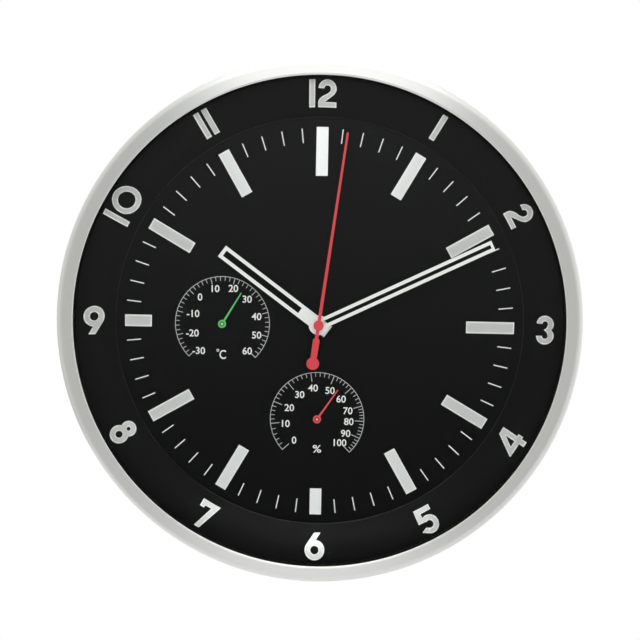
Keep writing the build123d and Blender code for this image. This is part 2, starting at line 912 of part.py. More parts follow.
# Third wheel, between the second wheel and the centre wheel
with BuildPart() as third_wheel:
    add_teeth(
        placed(wheel_outline(third_teeth, train_module, third_phase), third_place),
        third_level,
        wheel_thickness,
    )
    add_teeth(
        placed(pinion_outline(third_pinion_teeth, centre_module, 0), third_place),
        third_level + wheel_thickness,
        centre_level - third_level + small_gap,
    )
    add_arbor(third_place, pivot_radius, pivot_level, third_boss_level + pivot_reach)
write(third_wheel, "third_wheel")

# Centre wheel, which slips on the cannon pinion when the hands are set
with BuildPart() as centre_wheel:
    add_teeth(
        wheel_outline(centre_teeth, centre_module, centre_phase), centre_level, wheel_thickness
    )
    add_bore(
        (0, 0), cannon_radius + running_clearance, centre_level, centre_level + wheel_thickness
    )
write(centre_wheel, "centre_wheel")

# Cannon pinion: tube that carries the minute hand
cannon_start = centre_level - small_gap / 2
cannon_end = minute_hand_level + hand_thickness + tube_proud
cannon_teeth_start = minute_level - small_gap / 2
with BuildPart() as cannon_pinion:
    add_teeth(
        pinion_outline(cannon_teeth, motion_module, 0),
        cannon_teeth_start,
        wheel_thickness + small_gap,
    )
    add_arbor((0, 0), cannon_radius, cannon_start, cannon_end)
    add_bore((0, 0), arbor_radius + running_clearance, cannon_start, cannon_end)
write(cannon_pinion, "cannon_pinion")

# Minute wheel, which turns on the lid's stud
minute_top = hour_level + wheel_thickness + small_gap
with BuildPart() as minute_wheel:
    add_teeth(
        placed(wheel_outline(minute_teeth, motion_module, minute_phase), minute_place),
        minute_level,
        wheel_thickness,
    )
    add_teeth(
        placed(pinion_outline(minute_pinion_teeth, hour_module, 0), minute_place),
        minute_level + wheel_thickness,
        minute_top - minute_level - wheel_thickness,
    )
    add_bore(minute_place, stud_radius + running_clearance, minute_level, minute_top)
write(minute_wheel, "minute_wheel")

# Hour wheel and its tube, which carries the hour hand
hour_tube_end = hour_hand_level + hand_thickness + tube_proud
with BuildPart() as hour_wheel:
    add_teeth(wheel_outline(hour_teeth, hour_module, hour_phase), hour_level, wheel_thickness)
    add_arbor((0, 0), hour_tube_radius, hour_level, hour_tube_end)
    add_bore((0, 0), cannon_radius + running_clearance, hour_level, hour_tube_end)
write(hour_wheel, "hour_wheel")

# Setting arbor with its pinion, and the knob at the back
knob_front = movement_back - knob_gap
with BuildPart() as setting_arbor:
    add_teeth(
        placed(pinion_outline(setting_teeth, motion_module, setting_phase), setting_place),
        minute_level - small_gap / 2,
        wheel_thickness + small_gap,
    )
    add_arbor(
        setting_place,
        setting_arbor_radius,
        knob_front - knob_thickness / 2,
        setting_boss_level + pivot_reach,
    )
write(setting_arbor, "setting_arbor")

with BuildPart() as setting_knob:
    with BuildSketch(level(knob_front - knob_thickness)):
        with Locations(setting_place):
            Circle(knob_radius)
            with PolarLocations(knob_radius, knob_notches):
                Circle(knob_notch_radius, mode=Mode.SUBTRACT)
    extrude(amount=knob_thickness)
    with BuildSketch(level(knob_front)):
        with Locations(setting_place):
            Circle(setting_arbor_radius)
    extrude(amount=-knob_thickness / 2, mode=Mode.SUBTRACT)
write(setting_knob, "setting_knob")

# Circuit board with its chip and the quartz crystal
with BuildPart() as circuit_board:
    with BuildSketch(level(board_level)):
        with Locations(board_centre):
            Rectangle(board_width, board_height)
    extrude(amount=board_thickness)
write(circuit_board, "circuit_board")

board_front = board_level + board_thickness
with BuildPart() as controller_chip:
    with BuildSketch(level(board_front)):
        with Locations((board_centre[0] - board_width / 4, board_centre[1])):
            Circle(chip_radius)
    extrude(amount=chip_height)
    fillet(controller_chip.faces().sort_by(Axis.Y)[0].edges(), chip_height / 2)
write(controller_chip, "controller_chip")

with BuildPart() as quartz_crystal:
    crystal_start = board_centre[0] + board_width / 4 - crystal_length / 2
    crystal_plane = Plane(
        origin=(crystal_start, -board_front - crystal_radius, board_centre[1]),
        x_dir=(0, -1, 0),
        z_dir=(1, 0, 0),
    )
    with BuildSketch(crystal_plane):
        Circle(crystal_radius)
    extrude(amount=crystal_length)
write(quartz_crystal, "quartz_crystal")

# Battery cell, lying across the bay
cell_start = -cell_length / 2
cell_plane = Plane(
    origin=(cell_start, -battery_height, battery_axis), x_dir=(0, -1, 0), z_dir=(1, 0, 0)
)
with BuildPart() as battery_cell:
    with BuildSketch(cell_plane):
        Circle(battery_radius)
    extrude(amount=battery_length)
    with BuildSketch(cell_plane.offset(battery_length)):
        Circle(battery_nub_radius)
    extrude(amount=battery_nub_length)
write(battery_cell, "battery_cell")


def build_contact(side):
    # spring plate against the bay's end wall, with a bump that meets the cell
    plate_plane = Plane(
        origin=(side * inner_half_width, -battery_height, battery_axis),
        x_dir=(0, -1, 0),
        z_dir=(-side, 0, 0),
    )
    with BuildPart() as contact:
        with BuildSketch(plate_plane):
            Rectangle(contact_width, contact_width)
        extrude(amount=contact_thickness)
        with BuildSketch(plate_plane.offset(contact_thickness)):
            Circle(contact_bump_radius)
        extrude(amount=cell_slack / 2)
    return contact


write(build_contact(1), "battery_contact_positive")
write(build_contact(-1), "battery_contact_negative")


def hand_plane(height, clock_angle):
    # plane of a hand, whose x points along the hand
    turn = radians(clock_bearing(clock_angle))
    return Plane(origin=(0, -height, 0), x_dir=(cos(turn), 0, sin(turn)), z_dir=(0, -1, 0))


# Hour hand: bar with a long slot and a square tail
hour_plane = hand_plane(hour_hand_level, hour_hand_angle)
hour_bar_length = hour_hand_length + hour_hand_tail
hour_slot_length = hour_hand_length - hour_hand_border - hour_slot_start
with BuildPart() as hour_hand:
    with BuildSketch(hour_plane):
        with Locations((hour_bar_length / 2 - hour_hand_tail, 0)):
            Rectangle(hour_bar_length, hour_hand_width)
        with Locations((hour_slot_start + hour_slot_length / 2, 0)):
            Rectangle(hour_slot_length, hour_hand_width - 2 * hour_hand_border, mode=Mode.SUBTRACT)
    extrude(amount=hand_thickness)
    add_disc(hour_collar_radius, hour_hand_level - hour_collar_height, hour_collar_height)
    add_bore((0, 0), hour_tube_radius, hour_hand_level - hour_collar_height, hour_tube_end)
write(hour_hand, "hour_hand")

# Minute hand: narrower slotted bar on a round boss
minute_plane = hand_plane(minute_hand_level, minute_hand_angle)
minute_slot_length = minute_hand_length - minute_hand_tip_border - minute_slot_start
minute_collar_height = minute_hand_level - hour_tube_end - small_gap
with BuildPart() as minute_hand:
    with BuildSketch(minute_plane):
        Circle(minute_boss_radius)
        with Locations((minute_hand_length / 2, 0)):
            Rectangle(minute_hand_length, minute_hand_width)
        with Locations((minute_slot_start + minute_slot_length / 2, 0)):
            Rectangle(
                minute_slot_length, minute_hand_width - 2 * minute_hand_border, mode=Mode.SUBTRACT
            )
    extrude(amount=hand_thickness)
    add_disc(minute_collar_radius, minute_hand_level - minute_collar_height, minute_collar_height)
    add_bore((0, 0), cannon_radius, minute_hand_level - minute_collar_height, cannon_end)
write(minute_hand, "minute_hand")

# Second hand: tapered pointer, hub, neck, paddle and counterweight disc
second_plane = hand_plane(second_hand_level, second_hand_angle)
paddle_start = second_neck_length + paddle_shoulder
with BuildPart() as second_hand:
    with BuildSketch(second_plane):
        with BuildLine():
            Polyline(
                (0, -second_base_width / 2),
                (second_hand_length, -second_tip_width / 2),
                (second_hand_length, second_tip_width / 2),
                (0, second_base_width / 2),
                (-second_neck_length, second_neck_width / 2),
                (-paddle_start, paddle_width / 2),
                (-paddle_reach, paddle_end_width / 2),
                (-paddle_reach, -paddle_end_width / 2),
                (-paddle_start, -paddle_width / 2),
                (-second_neck_length, -second_neck_width / 2),
                close=True,
            )
        make_face()
        with Locations((-paddle_reach, 0)):
            Circle(paddle_disc_radius)
    extrude(amount=second_hand_thickness)
    add_disc(second_hub_radius, second_hand_level, second_hub_height)
    add_disc(second_pipe_radius, second_hand_level - second_pipe_length, second_pipe_length)
    with BuildSketch(level(second_hand_level - second_pipe_length)):
        Circle(arbor_radius)
    extrude(amount=second_arbor_end - second_hand_level + second_pipe_length, mode=Mode.SUBTRACT)
write(second_hand, "second_hand")


def spiral_strip(place, first_bearing):
    # strip coiled in half turns, from the collet out to the anchor
    inner = collet_radius + coil_gap + coil_strip / 2
    half_turns = 2 * coil_turns
    with BuildPart() as strip:
        with BuildSketch(level(coil_strip_level)):
            with BuildLine():
                for half in range(half_turns):
                    radius = inner + (half + 0.5) * coil_pitch / 2
                    shift = coil_pitch / 4 if half % 2 else -coil_pitch / 4
                    CenterArc(
                        (place[0] + shift, place[1]), radius, first_bearing + half * 180, 180
                    )
            trace(line_width=coil_strip)
        extrude(amount=coil_strip_height)
    return strip


def build_gauge(name, place, clock_angle):
    # cup with windows, coiled strip, bush, arbor and needle of one gauge
    x, z = place
    anchor_x = x + collet_radius + coil_gap + coil_strip / 2 + coil_turns * coil_pitch
    with BuildPart() as housing:
        with BuildSketch(level(cup_back)):
            with Locations(place):
                Circle(cup_radius)
        extrude(amount=cup_depth)
        with BuildSketch(level(floor_back - cup_ear_height)):
            with Locations(place):
                Rectangle(2 * ear_reach, 2 * cup_ear_radius)
                with PolarLocations(ear_reach, ear_count):
                    Circle(cup_ear_radius)
        extrude(amount=cup_ear_height)
        with BuildSketch(level(cup_inside)):
            with Locations(place):
                Circle(cup_radius - cup_wall)
        extrude(amount=cup_depth, mode=Mode.SUBTRACT)
        window_level = (cup_inside + floor_back) / 2
        for window in range(cup_window_count):
            bearing = (window + 0.5) * 360 / cup_window_count
            window_plane = section(x, z, bearing)
            window_wall = Plane(
                origin=window_plane.origin, x_dir=window_plane.z_dir, z_dir=window_plane.x_dir
            )
            with BuildSketch(window_wall.offset(cup_radius - cup_wall - overrun)):
                with Locations((0, window_level)):
                    Rectangle(cup_window_width, cup_window_height)
            extrude(amount=cup_wall + 2 * overrun, mode=Mode.SUBTRACT)
        with BuildSketch(level(cup_inside)):
            with Locations((anchor_x, z)):
                Circle(anchor_radius)
            with Locations((anchor_x, z - anchor_radius)):
                Rectangle(
                    coil_strip + 2 * anchor_clearance, 2 * anchor_radius, mode=Mode.SUBTRACT
                )
        extrude(amount=coil_lift + coil_strip_height)
        with BuildSketch(level(cup_inside - cup_wall / 2)):
            with Locations(place):
                Circle(gauge_arbor_radius + running_clearance)
        extrude(amount=cup_wall, mode=Mode.SUBTRACT)
        with BuildSketch(level(floor_back - cup_ear_height - overrun)):
            with Locations(place):
                with PolarLocations(ear_reach, ear_count):
                    Circle(screw_radius + thread_clearance)
        extrude(amount=cup_ear_height + 2 * overrun, mode=Mode.SUBTRACT)
    write(housing, f"{name}_housing")

    write(spiral_strip(place, 0), f"{name}_coil")

    with BuildPart() as bush:
        with BuildSketch(level(floor_back)):
            with Locations(place):
                Circle(gauge_bush_radius)
        extrude(amount=dial_front + gauge_bush_proud - floor_back)
        with BuildSketch(level(floor_back)):
            with Locations(place):
                Circle(gauge_bush_flange)
        extrude(amount=-gauge_bush_flange_height)
        add_bore(
            place,
            gauge_arbor_radius + running_clearance,
            floor_back - gauge_bush_flange_height,
            dial_front + gauge_bush_proud,
        )
    write(bush, f"{name}_bush")

    with BuildPart() as arbor:
        add_arbor(
            place,
            gauge_arbor_radius,
            cup_inside - cup_wall / 2,
            needle_level + needle_hub_height + needle_pin_proud,
        )
        with BuildSketch(level(coil_strip_level)):
            with Locations(place):
                Circle(collet_radius)
        extrude(amount=coil_strip_height)
    write(arbor, f"{name}_arbor")

    turn = radians(clock_bearing(clock_angle))
    needle_plane = Plane(
        origin=(x, -needle_level, z), x_dir=(cos(turn), 0, sin(turn)), z_dir=(0, -1, 0)
    )
    with BuildPart() as needle:
        with BuildSketch(needle_plane):
            with BuildLine():
                Polyline(
                    (0, -needle_base_width / 2),
                    (needle_length, -needle_tip_width / 2),
                    (needle_length, needle_tip_width / 2),
                    (0, needle_base_width / 2),
                    close=True,
                )
            make_face()
        extrude(amount=needle_thickness)
        with BuildSketch(needle_plane):
            Circle(needle_hub_radius)
        extrude(amount=needle_hub_height)
        add_bore(place, gauge_arbor_radius, needle_level, needle_level + needle_hub_height)
    write(needle, f"{name}_needle")


build_gauge("thermometer", thermometer_place, thermometer_angle)
build_gauge("hygrometer", hygrometer_place, hygrometer_angle)

# Screws that hold the two cups to the bowl's floor
with BuildPart() as cup_screws:
    ear_level = floor_back - cup_ear_height
    with BuildSketch(level(ear_level)):
        with Locations(*gauge_places):
            with PolarLocations(ear_reach, ear_count):
                Circle(screw_radius)
    extrude(amount=cup_screw_length)
    with BuildSketch(level(ear_level)):
        with Locations(*gauge_places):
            with PolarLocations(ear_reach, ear_count):
                Circle(screw_head_radius)
    extrude(amount=-screw_head_height)
write(cup_screws, "cup_screws")
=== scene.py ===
import json
import math

import bpy
from mathutils import Matrix, Vector
from mathutils.geometry import delaunay_2d_cdt


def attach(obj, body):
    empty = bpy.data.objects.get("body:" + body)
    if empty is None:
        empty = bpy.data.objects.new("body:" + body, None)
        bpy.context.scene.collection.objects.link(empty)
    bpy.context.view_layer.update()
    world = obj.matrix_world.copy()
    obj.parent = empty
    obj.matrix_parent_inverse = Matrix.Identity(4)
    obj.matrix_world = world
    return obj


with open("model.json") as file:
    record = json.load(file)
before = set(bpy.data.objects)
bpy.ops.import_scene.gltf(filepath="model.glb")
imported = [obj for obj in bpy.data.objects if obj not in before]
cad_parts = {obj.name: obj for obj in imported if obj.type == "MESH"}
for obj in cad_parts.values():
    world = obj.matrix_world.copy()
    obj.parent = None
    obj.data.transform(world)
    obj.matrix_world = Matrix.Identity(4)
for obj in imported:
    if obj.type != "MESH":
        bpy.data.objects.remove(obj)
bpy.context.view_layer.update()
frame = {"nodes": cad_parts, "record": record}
nodeSlots = {part["node"]: part["material_slot"] for part in frame["record"]["subparts"]}
print("frame loaded")

mm = 0.001


def toLinear(value):
    # screen value 0-255 to scene light
    share = value / 255
    return share / 12.92 if share <= 0.04045 else ((share + 0.055) / 1.055) ** 2.4


def colour(red, green, blue):
    return (toLinear(red), toLinear(green), toLinear(blue))


def addNode(tree, kind, inputs, **traits):
    # a new node, each of its inputs linked to an output or given a plain value
    node = tree.nodes.new(kind)
    for trait, value in traits.items():
        setattr(node, trait, value)
    for key, value in inputs.items():
        if isinstance(value, bpy.types.NodeSocket):
            tree.links.new(value, node.inputs[key])
        else:
            node.inputs[key].default_value = value
    return node


def mixToOutput(tree, output, share, first, second):
    mix = addNode(tree, "ShaderNodeMixShader", {"Fac": share, 1: first, 2: second})
    tree.links.new(mix.outputs["Shader"], tree.nodes[output].inputs["Surface"])


def anyRay(tree, *kinds):
    # 1 for a ray of any of these kinds, 0 for the others
    rays = tree.nodes.new("ShaderNodeLightPath")
    share = rays.outputs[kinds[0]]
    for kind in kinds[1:]:
        larger = addNode(
            tree, "ShaderNodeMath", {0: share, 1: rays.outputs[kind]}, operation="MAXIMUM"
        )
        share = larger.outputs["Value"]
    return share


def bareMaterial(name, base, metallic=0):
    material = bpy.data.materials.new(name)
    material.use_nodes = True
    shader = material.node_tree.nodes["Principled BSDF"]
    shader.inputs["Base Color"].default_value = (*base, 1)
    shader.inputs["Metallic"].default_value = metallic
    return material, material.node_tree, shader


def roughen(tree, shader, grain, settings):
    # the grain varies the gloss and lifts the surface a little
    spread = addNode(
        tree,
        "ShaderNodeMapRange",
        {
            "Value": grain,
            "To Min": settings["roughness"] - settings["roughnessChange"],
            "To Max": settings["roughness"] + settings["roughnessChange"],
        },
    )
    tree.links.new(spread.outputs["Result"], shader.inputs["Roughness"])
    bump = addNode(
        tree,
        "ShaderNodeBump",
        {"Strength": settings["bump"], "Distance": settings["grainDepth"], "Height": grain},
    )
    tree.links.new(bump.outputs["Normal"], shader.inputs["Normal"])
    return bump


plainFinish = {
    "metallic": 0,
    "specular": 0.5,
    "roughnessChange": 0.05,
    "bump": 0.15,
    "grainScale": 900,
    "grainDetail": 3,
    "grainDepth": 0.00003,
    "tint": None,
    "tintScale": 60,
}


def surface(name, base, roughness, **more):
    # plain finish whose gloss and surface vary with a fine grain
    settings = {**plainFinish, "roughness": roughness, **more}
    material, tree, shader = bareMaterial(name, base, settings["metallic"])
    shader.inputs["Specular IOR Level"].default_value = settings["specular"]
    place = tree.nodes.new("ShaderNodeTexCoord").outputs["Object"]
    grain = addNode(
        tree,
        "ShaderNodeTexNoise",
        {"Vector": place, "Scale": settings["grainScale"], "Detail": settings["grainDetail"]},
    )
    roughen(tree, shader, grain.outputs["Fac"], settings)
    if settings["tint"]:
        cloud = addNode(
            tree, "ShaderNodeTexNoise", {"Vector": place, "Scale": settings["tintScale"]}
        )
        mix = addNode(
            tree,
            "ShaderNodeMix",
            {"Factor": cloud.outputs["Fac"], "A": (*base, 1), "B": (*settings["tint"], 1)},
            data_type="RGBA",
        )
        tree.links.new(mix.outputs["Result"], shader.inputs["Base Color"])
    return material


lathe = {"ringDetail": 3, "grainDepth": 0.00002, "quarterTurn": 0.25}


def spunMetal(settings):
    # fine rings round the Y axis, as a lathe or a spinning tool leaves them
    material, tree, shader = bareMaterial(
        settings["name"], settings["base"], settings["metallic"]
    )
    shader.inputs["Anisotropic"].default_value = settings["anisotropy"]
    shader.inputs["Anisotropic Rotation"].default_value = lathe["quarterTurn"]
    tangent = addNode(tree, "ShaderNodeTangent", {}, direction_type="RADIAL", axis="Y")
    tree.links.new(tangent.outputs["Tangent"], shader.inputs["Tangent"])
    place = tree.nodes.new("ShaderNodeTexCoord").outputs["Object"]
    depth = addNode(tree, "ShaderNodeSeparateXYZ", {"Vector": place}).outputs["Y"]
    flat = addNode(tree, "ShaderNodeVectorMath", {0: place, 1: (1, 0, 1)}, operation="MULTIPLY")
    length = addNode(
        tree, "ShaderNodeVectorMath", {0: flat.outputs["Vector"]}, operation="LENGTH"
    )
    radius = length.outputs["Value"]
    path = addNode(tree, "ShaderNodeMath", {0: radius, 1: depth}, operation="SUBTRACT")
    rings = addNode(
        tree,
        "ShaderNodeTexNoise",
        {
            "W": path.outputs["Value"],
            "Scale": settings["ringsPerMetre"],
            "Detail": lathe["ringDetail"],
        },
        noise_dimensions="1D",
    )
    bump = roughen(tree, shader, rings.outputs["Fac"], {**lathe, **settings})
    if "edgeCircle" in settings:
        # the lip turns down a little towards the glass
        fall = addNode(
            tree,
            "ShaderNodeMapRange",
            {
                "Value": radius,
                "From Min": settings["edgeCircle"],
                "From Max": settings["edgeCircle"] + settings["edgeWidth"],
            },
        )
        turnDown = addNode(
            tree,
            "ShaderNodeBump",
            {"Distance": settings["edgeFall"], "Height": fall.outputs["Result"]},
        )
        tree.links.new(turnDown.outputs["Normal"], bump.inputs["Normal"])
    return material


def clearGlass(settings):
    # clear to shadow and diffuse rays, so that the dial under it stays lit
    material, tree, shader = bareMaterial(settings["name"], settings["base"])
    shader.inputs["Transmission Weight"].default_value = 1
    shader.inputs["IOR"].default_value = settings["ior"]
    shader.inputs["Roughness"].default_value = settings["roughness"]
    through = tree.nodes.new("ShaderNodeBsdfTransparent")
    mixToOutput(
        tree,
        "Material Output",
        anyRay(tree, "Is Shadow Ray", "Is Diffuse Ray"),
        shader.outputs["BSDF"],
        through.outputs["BSDF"],
    )
    return material


finishes = {
    "frame_metal": spunMetal(
        {
            "name": "spun aluminium",
            "metallic": 1,
            "base": colour(246, 247, 245),
            "roughness": 0.43,
            "roughnessChange": 0.04,
            "anisotropy": 0.93,
            "ringsPerMetre": 3500,
            "bump": 0.25,
            "edgeCircle": 0.14,
            "edgeWidth": 0.0011,
            "edgeFall": 0.00035,
        }
    ),
    "soft_rubber": surface("soft rubber", colour(30, 30, 30), 0.75),
    "clear_glass": clearGlass(
        {"name": "clear glass", "base": colour(253, 254, 253), "ior": 1.45, "roughness": 0}
    ),
    "bowl_plastic": surface(
        "black moulding", colour(5, 5, 6), 0.48, specular=0.11, grainScale=260, bump=0.06
    ),
    "dial_black": surface(
        "black coated sheet", colour(7, 7, 9), 0.5, specular=0.1, grainScale=2600, bump=0.2
    ),
    "bar_silver": surface(
        "silver bars", colour(250, 251, 249), 0.42, metallic=0.05, grainScale=700, bump=0.1
    ),
    "cover_plastic": surface(
        "matt black moulding", colour(34, 34, 35), 0.62, grainScale=1400, bump=0.55
    ),
    "screw_steel": surface("zinc plate", colour(205, 205, 203), 0.3, metallic=1),
    "hanger_steel": surface(
        "zinc sheet",
        colour(190, 192, 193),
        0.36,
        metallic=1,
        tint=colour(168, 172, 176),
        tintScale=180,
    ),
    "movement_plastic": surface(
        "dark grey moulding", colour(46, 47, 49), 0.5, grainScale=1100, bump=0.4
    ),
    "core_iron": surface("silicon iron", colour(170, 170, 168), 0.4, metallic=1),
    "bobbin_plastic": surface("natural moulding", colour(226, 222, 208), 0.45),
    "winding_copper": surface("enamelled copper", colour(196, 120, 70), 0.3, metallic=1),
    "board_green": surface("green board", colour(34, 110, 62), 0.4),
    "chip_black": surface("potted chip", colour(22, 22, 22), 0.25),
    "can_steel": surface("steel can", colour(200, 200, 198), 0.28, metallic=1),
    "cell_sleeve": surface("cell sleeve", colour(52, 66, 110), 0.34, metallic=0.4),
    "contact_steel": surface("contact steel", colour(208, 207, 200), 0.28, metallic=1),
    "cup_plastic": surface("white cup", colour(222, 221, 214), 0.5),
    "coil_bimetal": surface(
        "bimetal strip", colour(206, 184, 132), 0.34, metallic=1, tint=colour(178, 168, 150)
    ),
    "gauge_brass": surface("brass", colour(240, 222, 170), 0.5, metallic=0.7),
    "hand_red": surface("red lacquer", colour(212, 70, 76), 0.42, specular=0.35, grainScale=1500),
    "hand_silver": surface(
        "silver lacquer", colour(242, 243, 242), 0.42, metallic=0.1, grainScale=1500, bump=0.1
    ),
    "wheel_plastic": surface("acetal wheel", colour(236, 234, 222), 0.45),
    "magnet_ferrite": surface("ferrite", colour(58, 58, 60), 0.55),
    "knob_plastic": surface("red knob", colour(196, 44, 40), 0.45, grainScale=1200, bump=0.3),
    "needle_green": surface("green lacquer", colour(92, 196, 116), 0.42, specular=0.35),
    "needle_red": surface("red needle lacquer", colour(220, 84, 86), 0.42, specular=0.35),
}
for nodeName, node in frame["nodes"].items():
    node.data.materials.clear()
    node.data.materials.append(finishes[nodeSlots[nodeName]])
printWhite = surface("dial print", colour(236, 238, 236), 0.5, grainScale=2000)
fineGrey = surface("fine dial print", colour(190, 192, 192), 0.55, grainScale=2000)
print("finishes made")


def solidPiece(name, vertices, faces, finish, body, slotName):
    mesh = bpy.data.meshes.new(name)
    mesh.from_pydata(vertices, [], faces)
    mesh.update()
    mesh.materials.append(finish)
    piece = bpy.data.objects.new(name, mesh)
    bpy.context.scene.collection.objects.link(piece)
    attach(piece, body)
    return mesh


def merged(solids):
    vertices, faces = [], []
    for points, polygons in solids:
        start = len(vertices)
        vertices += points
        faces += [tuple(index + start for index in polygon) for polygon in polygons]
    return vertices, faces


def arcPoint(centre, radius, angle):
    # a point of a circle, its angle in degrees anticlockwise from the right
    turn = math.radians(angle)
    return (centre[0] + radius * math.cos(turn), centre[1] + radius * math.sin(turn))


def arcPoints(centre, radius, start, end, steps):
    angles = [start + (end - start) * step / steps for step in range(steps + 1)]
    return [arcPoint(centre, radius, angle) for angle in angles]


def disc(centre, radius, steps=64):
    return arcPoints(centre, radius, 0, 360, steps)[:-1]


def sector(centre, outer, inner, start, end, steps=48):
    outside = arcPoints(centre, outer, start, end, steps)
    return outside + arcPoints(centre, inner, end, start, steps)


def bar(left, right, bottom, top):
    return [(left, bottom), (right, bottom), (right, top), (left, top)]


def bezier(first, second, third, fourth, steps=14):
    points = []
    for step in range(steps + 1):
        share = step / steps
        rest = 1 - share
        weights = (
            rest * rest * rest,
            3 * rest * rest * share,
            3 * rest * share * share,
            share * share * share,
        )
        pairs = list(zip(weights, (first, second, third, fourth)))
        points.append(tuple(sum(w * corner[axis] for w, corner in pairs) for axis in (0, 1)))
    return points


def moved(shape, right=0, up=0, size=1, turned=False):
    # a shape shifted and sized, and turned upside down where asked
    sign = -size if turned else size
    return {
        key: [[(x * sign + right, y * sign + up) for x, y in outline] for outline in outlines]
        for key, outlines in shape.items()
    }


def together(*shapes):
    return {key: [o for shape in shapes for o in shape[key]] for key in ("add", "cut")}


def anticlockwise(outline):
    pairs = zip(outline, outline[1:] + outline[:1])
    area = sum(first[0] * second[1] - second[0] * first[1] for first, second in pairs)
    return outline if area > 0 else outline[::-1]


def divided(outline, cell):
    # the same outline with its long sides cut up, so that it can follow a curve
    points = []
    for first, second in zip(outline, outline[1:] + outline[:1]):
        steps = max(1, math.ceil(math.dist(first, second) / cell))
        for step in range(steps):
            share = step / steps
            points.append(tuple(a + (b - a) * share for a, b in zip(first, second)))
    return points


gridShift = (0.013, 0.017)  # keeps the grid off the outlines


def gridPoints(points, cell):
    # a grid over the points' box, so that a wide shape can follow a curve
    low = [min(point[axis] for point in points) for axis in (0, 1)]
    high = [max(point[axis] for point in points) for axis in (0, 1)]
    columns, rows = [int((high[axis] - low[axis]) / cell) for axis in (0, 1)]
    return [
        (low[0] + column * cell + gridShift[0], low[1] + row * cell + gridShift[1])
        for column in range(1, columns + 1)
        for row in range(1, rows + 1)
    ]


def filled(shape, cell):
    # points and triangles of a shape's added outlines, less its cut ones
    outlines = [anticlockwise(outline) for outline in shape["add"] + shape["cut"]]
    if cell:
        outlines = [divided(outline, cell) for outline in outlines]
    rings, flat = [], []
    for outline in outlines:
        rings.append(list(range(len(flat), len(flat) + len(outline))))
        flat += outline
    if cell:
        flat += gridPoints(flat, cell)
    insideOnly, mergeDistance = 1, 1e-5
    corners = [Vector(point) for point in flat]
    result = delaunay_2d_cdt(corners, [], rings, insideOnly, mergeDistance)
    points, triangles, sources = result[0], result[2], result[5]
    added = set(range(len(shape["add"])))
    kept = [
        triangle
        for triangle, source in zip(triangles, sources)
        if source and added.issuperset(source)
    ]
    used = sorted({index for triangle in kept for index in triangle})
    number = {index: count for count, index in enumerate(used)}
    kept = [tuple(number[index] for index in triangle) for triangle in kept]
    return [points[index] for index in used], kept


def printSolid(shape, place, bottom, top, cell=0):
    # thin closed solid of a shape, laid on a surface by the function place
    points, triangles = filled(shape, cell)
    vertices = [place(point.x, point.y, lift) for lift in (top, bottom) for point in points]
    under = len(points)
    faces = []
    for a, b, c in triangles:
        faces += [(a, b, c), (c + under, b + under, a + under)]
    sides = dict.fromkeys(side for a, b, c in triangles for side in ((a, b), (b, c), (c, a)))
    for first, second in sides:
        if (second, first) not in sides:
            faces.append((second, first, first + under, second + under))
    return vertices, faces


# Numerals on the sloped band, whose section is an arc
one = {"add": [bar(-1.67, 1.67, -7.85, 7.85)], "cut": []}
two = {
    "add": [
        sector((0, 2.75), 5.1, 1.85, 0, 176),
        bezier((5.1, 2.75), (5.1, 0.8), (3.6, -0.6), (2.2, -1.75))
        + [(-1.3, -4.55), (-1.3, -4.9), (-5.15, -5.2)]
        + bezier((-5.15, -5.1), (-5.15, -3.0), (-3.3, -1.55), (-1.2, -0.6))
        + bezier((-1.2, -0.6), (0.3, 0.1), (1.85, 1.0), (1.85, 2.75))[1:],
        bar(-5.15, 5.15, -7.85, -4.75),
    ],
    "cut": [],
}
three = {
    "add": [
        sector((0, 3.5), 4.75, 1.55, -45, 178),
        sector((0, -3.35), 4.9, 1.6, -178, 45),
        [
            (-0.8, 0.05),
            (0.1, -0.5),
            (0.8, -1.2),
            (1.35, -2.1),
            (1.6, -3.35),
            (3.9, -3.35),
            (3.9, -0.9),
            (3.15, 0),
            (3.9, 1),
            (3.9, 3.5),
            (1.55, 3.5),
            (1.3, 2.2),
            (0.8, 1.3),
            (0.1, 0.6),
        ],
    ],
    "cut": [],
}
four = {
    "add": [
        [
            (-7.75, -4.2),
            (-7.75, -4.75),
            (1.15, -4.75),
            (1.15, -7.9),
            (4.4, -7.9),
            (4.4, -4.75),
            (5.85, -4.75),
            (5.85, -1.7),
            (4.45, -1.7),
            (4.6, 7.9),
            (-0.05, 7.9),
        ]
    ],
    "cut": [[(-2.75, -1.7), (1.15, -1.7), (1.15, 4.2)]],
}
five = {
    "add": [
        sector((0.75, -2.6), 5.4, 2.15, -120, 125),
        [(-1.95, -7.28), (-0.33, -4.46), (-2.2, -3.65), (-5.35, -5.2), (-5.35, -5.32)][::-1],
        [
            (-5.3, -0.5),
            (-2.1, -0.5),
            (-1.2, -0.55),
            (-0.33, -0.74),
            (-0.6, 2.55),
            (-1.68, 2.2),
            (-5, 2.4),
        ],
        [(-5.3, -0.5), (-1.75, -0.5), (-1.35, 7.9), (-4.7, 7.9)],
        bar(-4.7, 5.1, 4.75, 7.9),
    ],
    "cut": [],
}
six = {
    "add": [
        disc((0.1, -2.1), 5.8),
        [(-0.3, 8), (-4.78, 1.03), (0.1, -2.1), (0.72, 3.62), (3.45, 8)],
    ],
    "cut": [disc((0.1, -2.1), 2.4, 40)],
}
seven = {
    "add": [
        [
            (-4.8, 3.4),
            (-2.05, 3.4),
            (-2.05, 4.6),
            (-1.5, 4.95),
            (2, 4.95),
            (-2, -7.85),
            (1.2, -7.85),
            (6.6, 7.6),
            (6.6, 8),
            (-4.8, 8),
        ]
    ],
    "cut": [],
}
eight = {
    "add": [disc((0, 3.5), 4.55), disc((0, -2.75), 5.3)],
    "cut": [disc((0, 3.5), 1.15, 32), disc((0, -2.75), 2, 40)],
}
zero = {"add": [disc((0, 0), 8.1, 80)], "cut": [disc((0, 0), 4.85, 64)]}
